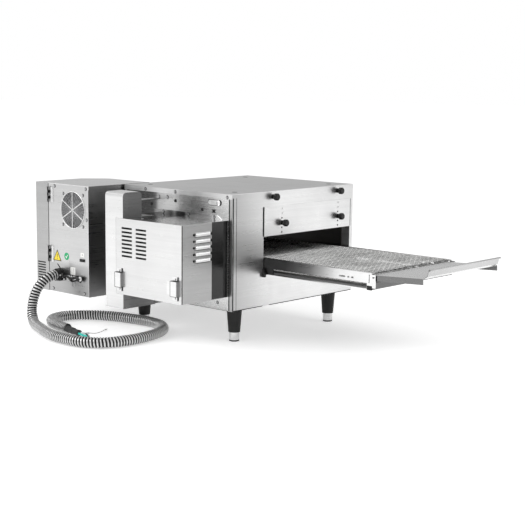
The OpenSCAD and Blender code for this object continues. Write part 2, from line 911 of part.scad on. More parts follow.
// ---------------------------------------------------------------- motor housing

// footprint of the housing drawn in by t, stepped back round the cable column
module house_plan(t, front) {
    x0 = house_step + t;
    x1 = -house_x1 - 2 - t;
    xs = -col_x1 + 1 + t;
    ys = -house_y + col_d + 1 + t;
    polygon([[x0, -t], [x1, -t], [x1, -house_y + front], [xs, -house_y + front],
             [xs, ys], [x0, ys]]);
}

module motor_housing() placed() color(steel_dark) {
    difference() {
        translate([0, 0, house_z0])
            linear_extrude(house_z1 - house_z0)
                house_plan(0, 2);
        translate([0, 0, house_z0 + sheet])
            linear_extrude(house_z1 - house_z0 - 2 * sheet)
                house_plan(sheet, -2);
        // opening to the rear wall for the motor and wiring
        box([house_step + ret, -sheet - cut, house_z0 + ret],
            [-house_x1 - house_flange, cut, house_z1 - ret]);
    }
    // wall flange with its corner cut off
    translate([0, 0, house_z1])
        rotate([90, 0, 0])
            linear_extrude(sheet)
                polygon([[house_step, 0], [-flange_cut[1], 0], [-flange_cut[1], 1],
                         [-flange_cut[1] - flange_cut[0], house_flange],
                         [house_step, house_flange]]);
}

// raised strip louvre, open at both ends
module louvre(z)
    translate([-house_x1, louvre_y, z])
        rotate([-90, 0, 0])
            difference() {
                cylinder(r = louvre_r, h = louvre_l);
                translate([0, 0, -over])
                    cylinder(r = louvre_r - sheet, h = louvre_l + 2 * over);
                translate([-4 * louvre_r, -2 * louvre_r, -over])
                    cube([4 * louvre_r, 4 * louvre_r, louvre_l + 2 * over]);
            }

module motor_cover() placed() color(steel) {
    difference() {
        union() {
            box([-house_x0, -house_y, house_z0], [-house_x1, -house_y + sheet, house_z1]);
            box([-house_x1 - sheet, -house_y, house_z0],
                [-house_x1, -house_y + cover_return, house_z1]);
        }
        for (x = slot_cols, i = [0 : slot_rows - 1])
            box([x, -house_y - over, slot_z + i * slot_pitch],
                [x + slot[0], -house_y + 2 * sheet, slot_z + i * slot_pitch + slot[1]]);
        for (i = [0 : louvre_rows - 1])
            box([-house_x1 - 2 * sheet, louvre_y, louvre_z + i * louvre_pitch - louvre_gap],
                [-house_x1 + over, louvre_y + louvre_l, louvre_z + i * louvre_pitch + louvre_gap]);
    }
    for (i = [0 : louvre_rows - 1])
        louvre(louvre_z + i * louvre_pitch);
}

// the column's block drawn in by t, stepped back above the housing, its top edges rounded
module column_block(t)
    translate([-col_x0 + t, 0, 0])
        rotate([90, 0, 90])
            linear_extrude(col_x0 - col_x1 - 2 * t)
                polygon([
                    [-house_y + col_d - t, t],
                    [-house_y + col_d - t, house_z1 - t],
                    [-house_y + col_top_d - t, house_z1 - t],
                    for (a = [0 : 22.5 : 90])
                        [-house_y + col_top_d - column_bend, wall_h - column_bend]
                            + (column_bend - t) * [cos(a), sin(a)],
                    for (a = [90 : 22.5 : 180])
                        [-house_y + column_bend, wall_h - column_bend]
                            + (column_bend - t) * [cos(a), sin(a)],
                    [-house_y + t, t]
                ]);

module cable_column() placed() color(steel) {
    difference() {
        column_block(0);
        column_block(sheet);
        box([-house_x0 - 0.5, -house_y - over, house_z0 - 0.5],
            [-col_x1 + over, -house_y + sheet + 0.5, house_z1 + 0.5]);
    }
    // foot flange and the two brackets that hold the column to the body
    box([-col_x0 - 2, -house_y - 3, -sheet], [-col_x1 + 2, -house_y + col_d + 2, 0]);
    box([-col_x0, -house_y + col_d, 0], [-col_x1, 0, sheet]);
    box([-col_x0 + 4, -house_y + col_top_d, col_tie_z], [-col_x0 + 26, 0, col_tie_z + 2 * sheet]);
}

// strap bracket: a folded keeper with two screwed tabs beside a flat leaf
module strap(x, z) {
    y = -house_y;
    box([x - strap_leaf[0], y - sheet, z - strap_leaf[1]], [x - slide_gap, y, z + strap_leaf[1]]);
    box([x, y - strap_t, z - keeper[1]], [x + keeper[0], y - strap_t + sheet, z + keeper[1]]);
    box([x + keeper[0] - sheet, y - strap_t, z - keeper[1]], [x + keeper[0], y, z + keeper[1]]);
    for (z0 = [z - keeper[1], z + keeper[1] - sheet])
        box([x, y - strap_t, z0], [x + keeper[0], y, z0 + sheet]);
    for (z0 = [z - keeper[1] - tab[1], z + keeper[1]])
        box([x, y - sheet, z0], [x + tab[0], y, z0 + tab[1]]);
    for (s = [-1, 1])
        rod_y([x + tab[0] / 2, y - sheet - head_h, z + s * (keeper[1] + tab[1] / 2)], head_r, head_h);
}

module cover_straps() placed() color(steel)
    for (x = strap_x)
        strap(x, strap_z);

module body_screws() placed() color(steel_dark) {
    // rear wall and housing flange
    for (p = wall_screws)
        rod_y([p[0], -sheet - head_h, p[1]], head_r, head_h);
    for (x = seam_screws)
        rod_y([x, -sheet - head_h, house_z1 + house_flange / 2], head_r, head_h);
    for (p = lid_screws)
        rod_z([p[0], p[1], house_z1], head_r, head_h);
    for (p = rear_screws)
        rod_y([p[0], -head_h, p[1]], head_r, head_h);
    for (p = panel_screws)
        rod_y([p[0], ctl_y0 - head_h, p[1]], head_r, head_h);
    for (x = front_screw_x, z = front_screw_z)
        rod_y([x, body_w, z], head_r, head_h);
}

// ---------------------------------------------------------------- control box

module control_box() placed() color(steel_dark) {
    difference() {
        box([-ctl_xs, ctl_y0, 0], [-ctl_x1, ctl_y1, body_h]);
        box([-ctl_xs - 1, ctl_y0 - 1, sheet], [-ctl_x1 - sheet, ctl_y1 - sheet, wall_h]);
        rod_y([motor_x, ctl_y1 - 2 * sheet, belt_z], shaft_bore, cut);
    }
    // top lip over the right-hand side
    box([-ctl_x1, ctl_y0, body_h - box_lip], [-ctl_x1 + sheet, ctl_y1, body_h]);
    // brackets that carry the box on the oven body
    for (y = bracket_y, z = bracket_z)
        box([-ctl_x1, y, z], [-body_l, y + bracket[0], z + bracket[1]]);
}

module control_rear_panel() placed() color(steel)
    difference() {
        box([-ctl_xs, ctl_y0, sheet], [-ctl_x1 - sheet, ctl_y0 + sheet, wall_h]);
        rod_y([fan_x, ctl_y0 - over, fan_z], fan_r, cut);
        rod_y([gland_x, ctl_y0 - over, gland_z], gland_pipe + 0.2, cut);
    }

module control_electronics() placed() color(green) {
    // circuit board on posts
    box([-ctl_x1 - post_l - board_t, board_y[0], board_z[0]], [-ctl_x1 - post_l, board_y[1], board_z[1]]);
    for (y = board_y + [post_in, -post_in], z = board_z + [post_in, -post_in])
        rod_x([-ctl_x1 - post_l, y, z], post_r, post_l - sheet);
    // contactor, terminal block and transformer on the floor, as [x, y, length, width, height]
    for (b = floor_parts)
        box([b[0], b[1], sheet], [b[0] + b[2], b[1] + b[3], b[4]]);
}

module fan_guard() placed() color(steel)
    translate([fan_x, ctl_y0, fan_z])
        rotate([90, 0, 0]) {
            for (r = [8:9.5:55.5])
                rotate_extrude()
                    translate([r, 1.6])
                        circle(r = 1, $fn = 16);
            for (a = [30, 90, 150])
                rotate([0, 0, a])
                    translate([-fan_r - guard_w, -guard_w, 0])
                        cube([2 * (fan_r + guard_w), 2 * guard_w, 1]);
            difference() {
                cylinder(r = fan_r + guard_w, h = 1);
                translate([0, 0, -over])
                    cylinder(r = fan_r - guard_w / 2, h = cut);
            }
        }

module fan_frame() placed() color(black)
    difference() {
        box([fan_x - fan_size / 2, ctl_y0 + sheet, fan_z - fan_size / 2],
            [fan_x + fan_size / 2, ctl_y0 + sheet + fan_depth, fan_z + fan_size / 2]);
        difference() {
            rod_y([fan_x, ctl_y0, fan_z], fan_r, fan_depth + cut);
            rod_y([fan_x, ctl_y0 + sheet + fan_depth - spider, fan_z], fan_hub, spider);
            for (a = [45:90:315])
                translate([fan_x, ctl_y0 + sheet + fan_depth - spider, fan_z])
                    rotate([0, a, 0])
                        translate([0, 0, -guard_w])
                            cube([fan_r + 2, spider, 2 * guard_w]);
        }
        rod_y([fan_x, ctl_y0 + sheet + fan_depth - 2 * spider, fan_z], rotor_hub[2] + fit, 10);
    }

module fan_rotor() placed() color(black)
    translate([fan_x, ctl_y0 + sheet, fan_z])
        rotate([-90, 0, 0]) {
            translate([0, 0, 3])
                cylinder(r = rotor_hub[0], h = rotor_hub[1]);
            translate([0, 0, rotor_hub[1] + over])
                cylinder(r = rotor_hub[2], h = fan_depth - rotor_hub[1] - over);
            for (a = [0 : 360 / rotor_blades : 359])
                rotate([0, 0, a])
                    translate([rotor_hub[0] - 2, 0, fan_depth / 2 - 0.5])
                        rotate([blade_pitch, 0, 0])
                            translate([0, -rotor_blade[1] / 2, -1])
                                cube(rotor_blade);
        }

// knuckles, even pieces on one leaf and odd pieces on the other
module knuckles(h, odd)
    for (k = [odd : 2 : 4])
        translate([hinge_x, hinge_y, h[0] + k * h[1] / 5 + 0.15])
            difference() {
                cylinder(r = hinge_r, h = h[1] / 5 - 0.3);
                translate([0, 0, -1])
                    cylinder(r = 1.9 + (odd == 1 ? 0.05 : 0), h = h[1]);
            }

module control_hinges() placed() color(black)
    for (h = hinge_z) {
        knuckles(h, 0);
        rod_z([hinge_x, hinge_y, h[0] - 1], 1.9, h[1] + 2);
        for (k = [0, 2, 4])
            box([hinge_x + 1.5, ctl_y0 - 2, h[0] + k * h[1] / 5 + 0.15],
                [hinge_x + 18, ctl_y0, h[0] + (k + 1) * h[1] / 5 - 0.15]);
        box([hinge_x + 6, ctl_y0 - 2, h[0]], [hinge_x + 18, ctl_y0, h[0] + h[1]]);
    }

// outline of the door, its front corner cut at an angle
module door_plan(t)
    polygon([
        [-ctl_x0 + t, ctl_y0 + t], [-ctl_xs - door_gap + (t > 0 ? 1 : 0), ctl_y0 + t],
        [-ctl_xs - door_gap + (t > 0 ? 1 : 0), ctl_y1 - 2 - 1.4 * t + (t > 0 ? 1 : 0)],
        [-ctl_x0 + t, door_cut_y - 0.4 * t]
    ]);

module control_door() placed() color(steel) {
    difference() {
        linear_extrude(body_h)
            door_plan(0);
        translate([0, 0, sheet])
            linear_extrude(body_h - 2 * sheet)
                door_plan(sheet);
        // vents in the rear edge
        for (i = [0 : vents - 1])
            box([vent_x[0], ctl_y0 - over, vent_z + i * vent_pitch],
                [vent_x[1], ctl_y0 + 2 * sheet, vent_z + i * vent_pitch + vent_h]);
        for (y = key_y)
            rod_x([-ctl_x0 - over, y, key_z], key_r + fit, cut);
        box([-ctl_x0 - over, rocker_y - rocker_half[0] - slide_gap, rocker_z - rocker_r],
            [-ctl_x0 + cut, rocker_y + rocker_half[0] + slide_gap, rocker_z + rocker_r]);
    }
    // display window and its frame
    difference() {
        box([-ctl_x0 - 2, window_y[0], window_zs[0]], [-ctl_x0, window_y[1], window_zs[1]]);
        box([-ctl_x0 - 2 - over, window_y[0] + window_rim, window_zs[0] + window_rim],
            [-ctl_x0 - 1, window_y[1] - window_rim, window_zs[1] - window_rim]);
    }
    // rocker bearing ears
    difference() {
        for (s = [-1, 1])
            box([-ctl_x0 - sheet, rocker_y + s * ear_y - ear_t / 2, rocker_z - ear_z],
                [-ctl_x0 + 12, rocker_y + s * ear_y + ear_t / 2, rocker_z + ear_z]);
        rod_y([rocker_x, rocker_y - ear_z, rocker_z], rocker_pin_r + fit, 2 * ear_z);
    }
    for (s = [-1, 1])
        box([-ctl_x0 - sheet, rocker_y - ear_y - ear_t / 2, rocker_z + s * (ear_z - 0.5) - ear_t / 2],
            [-ctl_x0, rocker_y + ear_y + ear_t / 2, rocker_z + s * (ear_z - 0.5) + ear_t / 2]);
    // hinge leaves with their knuckles
    for (h = hinge_z) {
        knuckles(h, 1);
        for (k = [1, 3])
            box([-ctl_xs - door_gap - 18, ctl_y0 - 2, h[0] + k * h[1] / 5 + 0.15],
                [hinge_x - 1.5, ctl_y0 - slide_gap, h[0] + (k + 1) * h[1] / 5 - 0.15]);
        box([-ctl_xs - door_gap - 18, ctl_y0 - 2, h[0]],
            [-ctl_xs - door_gap - 4, ctl_y0, h[0] + h[1]]);
    }
}

module key(i) {
    rod_x([-ctl_x0 - key_out, key_y[i], key_z], key_r, key_out + key_in + 0.5);
    rod_x([-ctl_x0 + key_in, key_y[i], key_z], key_r + key_rim[0], key_rim[1]);
}

module key_up() placed() color(black) key(0);

module key_down() placed() color(black) key(1);

module power_rocker() placed() color(black) {
    rod_y([rocker_x, rocker_y - ear_y - ear_t / 2 + 0.2, rocker_z], rocker_pin_r,
          2 * ear_y + ear_t - 0.4);
    intersection() {
        rod_y([rocker_x, rocker_y - rocker_half[0], rocker_z], rocker_r, 2 * rocker_half[0]);
        box([-ctl_x0 - 9, rocker_y - rocker_half[0], rocker_z - rocker_half[1]],
            [-ctl_x0 + 9, rocker_y + rocker_half[0], rocker_z + rocker_half[1]]);
    }
}

// ---------------------------------------------------------------- hose

floor_z = -leg_h;
run_z = floor_z + hose_r + 0.8;
// route of the conduit: out of the gland, down to the counter and once round
hose_path = [
    [gland_x, ctl_y0 - 24.6, gland_z], [gland_x, ctl_y0 - 37, gland_z - 1],
    [-632, -196, 55], [-636, -212, 45], [-643, -231, 22], [-648, -243, -8],
    [-648, -250, -38], [-640, -256, -62], [-622, -264, -79], [-598, -275, run_z + 0.6],
    [-570, -287, run_z], [-530, -304, run_z], [-480, -325, run_z],
    [-400, -345, run_z], [-300, -342, run_z], [-235, -300, run_z],
    [-212, -225, run_z], [-218, -130, run_z], [-250, -50, run_z],
    [-310, 0, run_z], [-380, 14, run_z], [-450, 8, run_z],
    [-530, -8, run_z], [-595, -40, run_z], [-640, -90, run_z],
    [-650, -140, run_z], [-630, -185, run_z], [-590, -213, run_z],
    [-535, -232, run_z], [-475, -246, run_z]
];
hose_steps = 3;
hose_sides = 10;

// point on a smooth curve through four neighbours
function spline(a, b, c, d, t) =
    0.5 * (2 * b + (c - a) * t + (2 * a - 5 * b + 4 * c - d) * t * t
           + (3 * b - a - 3 * c + d) * t * t * t);

function smooth(p, n) = [
    for (i = [0 : len(p) - 2], k = [0 : n - 1])
        spline(p[max(i - 1, 0)], p[i], p[i + 1], p[min(i + 2, len(p) - 1)], k / n),
    p[len(p) - 1]
];

function unit(v) = v / norm(v);

function heading(p, i) = unit(p[min(i + 1, len(p) - 1)] - p[max(i - 1, 0)]);

// ring of points round p[i], square to the run of the path
function ring(p, i, r, n, up) =
    let (h = heading(p, i), s = unit(cross(h, up)), u = cross(s, h))
    [for (k = [0 : n - 1]) p[i] + r * (cos(360 * k / n) * s + sin(360 * k / n) * u)];

// solid tube swept along the points
module tube(p, r, n, up) {
    m = len(p);
    polyhedron(
        points = [for (i = [0 : m - 1]) each ring(p, i, r, n, up)],
        faces = [
            [for (k = [n - 1 : -1 : 0]) k],
            for (i = [0 : m - 2], k = [0 : n - 1])
                [i * n + k, i * n + (k + 1) % n, (i + 1) * n + (k + 1) % n, (i + 1) * n + k],
            [for (k = [0 : n - 1]) (m - 1) * n + k]
        ]
    );
}

hose_run = smooth(hose_path, hose_steps);
hose_end = hose_path[len(hose_path) - 1];
sleeve_r = 11;
sleeve_l = 82;
lead_r = 2;
lead_sides = 8;
lead_gap = 5;
lead_spread = 16;
sleeve_dir = heading(hose_run, len(hose_run) - 1);
sleeve_tip = hose_end + sleeve_l * sleeve_dir;
lead_side = cross(sleeve_dir, [0, 0, 1]);
lead_l = 62;

// points of one bare lead, k = -1, 0 or 1 across the sleeve
function lead(k) = [
    for (t = [0 : 0.2 : 1])
        sleeve_tip + (0.2 + lead_l * t) * sleeve_dir
            + k * (lead_gap + (t > 0.2 ? lead_spread * t * t : 0)) * lead_side
];

module cable_gland() placed() color(black) {
    difference() {
        union() {
            rod_y([gland_x, ctl_y0 - gland_plate[1], gland_z], gland_plate[0], gland_plate[1]);
            rod_y([gland_x, ctl_y0 - gland_nut[1], gland_z], gland_nut[0], gland_nut[1] - 1);
            rod_y([gland_x, ctl_y0 - 1, gland_z], gland_pipe, gland_pipe);
        }
        rod_y([gland_x, ctl_y0 - gland_nut[1] - over, gland_z], gland_pipe - 4, 2 * gland_nut[1]);
    }
    // small sockets beside the gland, each shorter than the one before
    for (i = [0 : len(socket_x) - 1])
        rod_y([socket_x[i], ctl_y0 - socket_l + 2 * i, gland_z - 4 + i], socket_r - i,
              socket_l - 2 * i);
    box([label_slot[0], ctl_y0 - 3, label_slot[1]],
        [label_slot[0] + label_slot[2], ctl_y0, label_slot[1] + label_slot[3]]);
}

module conduit_hose() placed() color(steel)
    tube(hose_run, hose_r, hose_sides, [0, 0, 1]);

// sleeve on the conduit's free end with three bare leads
module hose_end_wires() placed() color(black) {
    translate(hose_end)
        rotate([0, 90, atan2(sleeve_dir[1], sleeve_dir[0])])
            translate([0, 0, 0.2])
                cylinder(r = sleeve_r, h = sleeve_l - 0.2);
    for (k = [-1 : 1])
        tube(lead(k), lead_r, lead_sides, [0, 0, 1]);
}

// ---------------------------------------------------------------- legs

module legs() placed() color(black)
    for (x = leg_xs, y = leg_ys)
        translate([x, y, -leg_part])
            difference() {
                union() {
                    cylinder(r1 = leg_low_r, r2 = leg_top_r, h = leg_part);
                    translate([0, 0, leg_part - leg_collar[1]])
                        cylinder(r = leg_top_r + leg_collar[0], h = leg_collar[1]);
                }
                translate([0, 0, -over])
                    cylinder(r = foot_r + fit, h = foot_travel + stem_r);
                translate([0, 0, -over])
                    cylinder(r = stem_r + fit, h = leg_part - foot_r + foot_rim);
            }

// levelling foot on a stem that runs up inside the leg
module foot(i, j) placed() color(steel)
    translate([leg_xs[i], leg_ys[j], -leg_h]) {
        cylinder(r1 = foot_r - 1.5, r2 = foot_r, h = foot_rim);
        translate([0, 0, foot_rim])
            cylinder(r = foot_r, h = foot_h);
        cylinder(r = stem_r, h = stem_l);
    }

module foot_rear_out() foot(0, 0);

module foot_rear_in() foot(1, 0);

module foot_front_out() foot(0, 1);

module foot_front_in() foot(1, 1);

base_pan();
rear_panel();
front_panel();
top_cover();
outfeed_end_panel();
infeed_end_panel();
inner_liner();
insulation();
upper_air_duct();
lower_air_duct();
blower_wheel();
blower_motor();
heater_element();
temperature_probe();
outfeed_eyebrow();
infeed_eyebrow();
outfeed_brow_knob_rear();
outfeed_brow_knob_front();
infeed_brow_knob_rear();
infeed_brow_knob_front();
outfeed_panel_knob_rear();
outfeed_panel_knob_front();
infeed_panel_knob_rear();
infeed_panel_knob_front();
conveyor_frame();
wire_belt();
drive_shaft();
idler_shaft();
shaft_bushings();
drive_chain();
motor_sprocket();
gear_motor();
chain_guard();
crumb_tray_outfeed();
crumb_tray_infeed();
exit_tray();
motor_housing();
motor_cover();
cable_column();
cover_straps();
body_screws();
control_box();
control_rear_panel();
control_electronics();
fan_guard();
fan_frame();
fan_rotor();
control_hinges();
control_door();
key_up();
key_down();
power_rocker();
cable_gland();
conduit_hose();
hose_end_wires();
legs();
foot_rear_out();
foot_rear_in();
foot_front_out();
foot_front_in();
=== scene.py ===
"""Looks of the countertop conveyor oven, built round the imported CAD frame. Units are metres."""
import math

import bpy
from mathutils import Matrix, Vector


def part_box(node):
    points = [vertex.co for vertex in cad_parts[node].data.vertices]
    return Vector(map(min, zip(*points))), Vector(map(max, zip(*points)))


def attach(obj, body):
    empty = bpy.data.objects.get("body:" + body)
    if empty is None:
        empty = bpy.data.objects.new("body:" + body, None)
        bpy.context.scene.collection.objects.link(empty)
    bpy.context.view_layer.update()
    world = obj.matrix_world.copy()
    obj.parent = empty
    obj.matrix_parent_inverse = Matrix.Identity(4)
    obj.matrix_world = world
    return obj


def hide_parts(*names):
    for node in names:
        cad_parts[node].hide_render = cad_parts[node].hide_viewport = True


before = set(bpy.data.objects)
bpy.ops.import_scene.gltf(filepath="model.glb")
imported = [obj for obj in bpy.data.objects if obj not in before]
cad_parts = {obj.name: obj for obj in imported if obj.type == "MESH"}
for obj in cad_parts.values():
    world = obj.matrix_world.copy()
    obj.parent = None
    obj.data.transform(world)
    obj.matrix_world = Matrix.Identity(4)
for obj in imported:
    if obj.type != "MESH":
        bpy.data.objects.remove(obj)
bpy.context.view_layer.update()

MM = 0.001
OVEN = "oven"
# lower rear corner of the body at the outfeed end, read from the frame
CORNER = Vector((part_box("outfeed_end_panel")[1].x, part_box("rear_panel")[0].y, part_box("legs")[1].z))


def at(x, y, z):
    """Row-frame point of a place given in mm from the body's corner."""
    return CORNER + Vector((x, y, z)) * MM


def mm_box(node):
    """Low and high corner of a CAD node, in mm from the body's corner."""
    low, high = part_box(node)
    return (low - CORNER) / MM, (high - CORNER) / MM


def mm_middle(node):
    low, high = mm_box(node)
    return (low + high) / 2


FLOOR_Z = -CORNER.z / MM
BODY_L = -mm_box("top_cover")[0].x
BODY_W = mm_box("outfeed_end_panel")[1].y
TOP_Z = mm_box("top_cover")[1].z
RAIL_X0, RAIL_X1 = mm_box("conveyor_frame")[0].x, mm_box("conveyor_frame")[1].x
# rear face of the control box, and the seam between the box and its door
PANEL_Y = mm_box("control_rear_panel")[0].y
DOOR_X = mm_box("control_box")[0].x
# rear and outfeed faces of the louvred cover
COVER_Y = mm_box("motor_cover")[0].y
COVER_X = -16


# ---------------------------------------------------------------- camera

# the photo's camera: place in mm from the corner, angles in degrees, lens on a 36 mm sensor
CAMERA_AT = (2575.5, -2694.4, 703.3)
CAMERA_YAW, CAMERA_PITCH, CAMERA_ROLL = (math.radians(a) for a in (-42.30, 8.412, 0.583))
CAMERA_LENS = 86.23


def make_camera():
    yaw, pitch, roll = CAMERA_YAW, CAMERA_PITCH, CAMERA_ROLL
    forward = Vector((math.cos(pitch) * math.sin(yaw), math.cos(pitch) * math.cos(yaw),
                      -math.sin(pitch)))
    right = Vector((math.cos(yaw), -math.sin(yaw), 0))
    up = right.cross(forward)
    right_rolled = math.cos(roll) * right + math.sin(roll) * up
    up_rolled = -math.sin(roll) * right + math.cos(roll) * up
    data = bpy.data.cameras.new("camera")
    data.sensor_width = 36
    data.lens = CAMERA_LENS
    data.clip_start, data.clip_end = 0.1, 60
    camera = bpy.data.objects.new("camera", data)
    bpy.context.scene.collection.objects.link(camera)
    turn = Matrix((right_rolled, up_rolled, -forward)).transposed()
    camera.matrix_world = Matrix.Translation(at(*CAMERA_AT)) @ turn.to_4x4()
    bpy.context.scene.camera = camera


make_camera()


# ---------------------------------------------------------------- node helpers

class Shader:
    """A material and short ways to add nodes to it."""

    def __init__(self, name, metallic=0.0, roughness=0.5):
        self.material = bpy.data.materials.new(name)
        self.material.use_nodes = True
        self.tree = self.material.node_tree
        self.tree.nodes.clear()
        output = self.tree.nodes.new("ShaderNodeOutputMaterial")
        self.surface = self.tree.nodes.new("ShaderNodeBsdfPrincipled")
        self.surface.inputs["Metallic"].default_value = metallic
        self.surface.inputs["Roughness"].default_value = roughness
        self.tree.links.new(self.surface.outputs[0], output.inputs[0])
        self.place = self.tree.nodes.new("ShaderNodeTexCoord")

    def put(self, socket, value):
        if isinstance(value, bpy.types.NodeSocket):
            self.tree.links.new(value, socket)
        else:
            socket.default_value = value

    def set(self, **inputs):
        for key, value in inputs.items():
            self.put(self.surface.inputs[key.replace("_", " ")], value)

    def math(self, operation, a, b=0.0):
        node = self.tree.nodes.new("ShaderNodeMath")
        node.operation = operation
        self.put(node.inputs[0], a)
        self.put(node.inputs[1], b)
        return node.outputs[0]

    def stretched(self, scale):
        node = self.tree.nodes.new("ShaderNodeVectorMath")
        node.operation = "MULTIPLY"
        self.put(node.inputs[0], self.place.outputs["Object"])
        node.inputs[1].default_value = scale
        return node.outputs[0]

    def noise(self, vector, scale=1.0, detail=2.0, rough=0.5):
        node = self.tree.nodes.new("ShaderNodeTexNoise")
        self.put(node.inputs["Vector"], vector)
        node.inputs["Scale"].default_value = scale
        node.inputs["Detail"].default_value = detail
        node.inputs["Roughness"].default_value = rough
        return node.outputs["Fac"]

    def span(self, value, low, high, out_low, out_high):
        node = self.tree.nodes.new("ShaderNodeMapRange")
        node.clamp = True
        self.put(node.inputs["Value"], value)
        for key, number in zip(("From Min", "From Max", "To Min", "To Max"),
                               (low, high, out_low, out_high)):
            self.put(node.inputs[key], number)
        return node.outputs[0]

    def ramp(self, value, stops):
        node = self.tree.nodes.new("ShaderNodeValToRGB")
        elements = node.color_ramp.elements
        while len(elements) < len(stops):
            elements.new(0.5)
        for element, (position, colour) in zip(elements, stops):
            element.position = position
            shade = (colour,) * 3 if isinstance(colour, (int, float)) else colour
            element.color = (*shade, 1)
        self.put(node.inputs[0], value)
        return node.outputs[0]

    def mix(self, share, a, b):
        node = self.tree.nodes.new("ShaderNodeMix")
        node.data_type = "RGBA"
        for index, value in ((0, share), (6, a), (7, b)):
            self.put(node.inputs[index], value)
        return node.outputs[2]

    def scale(self, vector, share):
        node = self.tree.nodes.new("ShaderNodeVectorMath")
        node.operation = "SCALE"
        self.put(node.inputs[0], vector)
        self.put(node.inputs["Scale"], share)
        return node.outputs[0]

    def split(self, vector):
        node = self.tree.nodes.new("ShaderNodeSeparateXYZ")
        self.put(node.inputs[0], vector)
        return node.outputs

    def attribute(self, name):
        node = self.tree.nodes.new("ShaderNodeAttribute")
        node.attribute_name = name
        return node.outputs["Fac"]

    def bump(self, height, strength, distance=0.001):
        node = self.tree.nodes.new("ShaderNodeBump")
        node.inputs["Strength"].default_value = strength
        node.inputs["Distance"].default_value = distance
        self.put(node.inputs["Height"], height)
        self.put(self.surface.inputs["Normal"], node.outputs[0])


# ---------------------------------------------------------------- materials

# noise scale across the brushed grain and along it
GRAIN_FINE = 520.0
GRAIN_LONG = 5.0


def brushed(name, tone, shade_plus_x=1.0, shade_minus_y=1.0, shade_plus_z=1.0, rough=0.30, axis="x", sweep=(),
            tint=(1.0, 1.0, 1.0)):
    """Brushed stainless steel, its grain lying level on walls and along X on flat tops.
    The face factors darken the faces that look +X, -Y and +Z, as painted shade and painted reflection.
    sweep is painted shade and highlight, a slow change of brightness along the axis, as [(mm, factor),
    ...]."""
    s = Shader(name, metallic=1.0)
    position = s.place.outputs["Object"]
    normal = s.split(s.place.outputs["Normal"])
    level = s.math("GREATER_THAN", s.math("ABSOLUTE", normal[2]), 0.6)
    wall = s.stretched((GRAIN_LONG, GRAIN_LONG, GRAIN_FINE))
    flat = s.stretched((GRAIN_LONG, GRAIN_FINE, GRAIN_LONG))
    along = s.mix(level, wall, flat)
    fine = s.noise(along, 1.0, 3.0, 0.6)
    broad = s.noise(along, 0.16, 2.0, 0.5)
    cloud = s.noise(position, 3.2, 2.0, 0.5)
    smudge = s.noise(position, 16.0, 3.0, 0.6)
    grain = s.math("ADD", s.span(fine, 0.25, 0.75, -0.05, 0.05),
                   s.span(broad, 0.3, 0.7, -0.025, 0.025))
    shade = s.math("ADD", s.span(cloud, 0.3, 0.7, 0.96, 1.03), grain)
    # painted shade and painted reflection: faces that look +X, -Y or +Z are darkened by their factors
    for direction, factor in ((s.span(normal[0], 0.5, 0.8, 0, 1), shade_plus_x),
                              (s.span(normal[1], -0.8, -0.5, 1, 0), shade_minus_y),
                              (s.span(normal[2], 0.5, 0.8, 0, 1), shade_plus_z)):
        if factor != 1.0:
            shade = s.math("MULTIPLY", shade, s.span(direction, 0, 1, 1.0, factor))
    # painted shade and painted highlight: brightness ramps along the axis
    if sweep:
        k = "xyz".index(axis)
        first, last = sweep[0][0], sweep[-1][0]
        share = s.span(s.split(position)[k], at(first, first, first)[k], at(last, last, last)[k], 0, 1)
        stops = [((mm - first) / (last - first), factor) for mm, factor in sweep]
        shade = s.math("MULTIPLY", shade, s.ramp(share, stops))
    s.set(Base_Color=s.scale(tuple(tone * c for c in tint), shade))
    s.set(Roughness=s.math("ADD", s.span(fine, 0.3, 0.7, rough - 0.05, rough + 0.06),
                           s.span(smudge, 0.45, 0.75, 0.0, 0.08)))
    s.bump(fine, 0.10, 0.0004)
    return s.material


def black_plastic(name, shade=0.004, rough=0.20, grain=900.0):
    """Moulded plastic with a fine grain."""
    s = Shader(name)
    position = s.place.outputs["Object"]
    fine = s.noise(position, grain, 2.0)
    cloud = s.noise(position, 40.0, 3.0)
    s.set(Base_Color=s.ramp(cloud, [(0.3, shade), (0.8, shade * 2.6)]))
    s.set(Roughness=s.span(cloud, 0.3, 0.7, rough, rough + 0.14))
    s.set(Specular_IOR_Level=0.3)
    s.bump(fine, 0.15, 0.0003)
    return s.material


def powder_black(name, shade=0.007, rough=0.42):
    """Black powder coat with its orange-peel skin."""
    s = Shader(name)
    position = s.place.outputs["Object"]
    peel = s.noise(position, 420.0, 2.0)
    rub = s.noise(position, 55.0, 4.0, 0.65)
    s.set(Base_Color=s.ramp(rub, [(0.35, shade), (0.8, shade * 2.4)]))
    s.set(Roughness=s.span(rub, 0.3, 0.75, rough, rough + 0.16), Specular_IOR_Level=0.25)
    s.bump(peel, 0.25, 0.0005)
    return s.material


def turned_metal(name, tone=0.6, rough=0.25):
    """Lathe-turned steel: rings along Z."""
    s = Shader(name, metallic=1.0)
    rings = s.noise(s.stretched((12, 12, 900)), 1.0, 2.0)
    blotch = s.noise(s.place.outputs["Object"], 60.0, 3.0)
    shade = s.math("ADD", s.span(rings, 0.3, 0.7, tone * 0.88, tone * 1.1),
                   s.span(blotch, 0.35, 0.7, -0.06, 0.05))
    s.set(Base_Color=s.ramp(shade, [(0.0, 0.0), (1.0, 1.0)]))
    s.set(Roughness=s.span(blotch, 0.3, 0.7, rough, rough + 0.15))
    s.bump(rings, 0.2, 0.0003)
    return s.material


def plain(name, colour, metallic, rough, rough_spread, spread, scale, grain, bump):
    """One colour broken up by blotches, over a fine grain."""
    s = Shader(name, metallic=metallic)
    position = s.place.outputs["Object"]
    blotch = s.noise(position, scale, 4.0, 0.6)
    dark = tuple(c * (1 - spread) for c in colour)
    light = tuple(min(1.0, c * (1 + spread)) for c in colour)
    s.set(Base_Color=s.ramp(blotch, [(0.3, dark), (0.7, light)]))
    s.set(Roughness=s.span(blotch, 0.3, 0.7, rough, rough + rough_spread))
    s.bump(s.noise(position, *grain), bump, 0.0003)
    return s.material


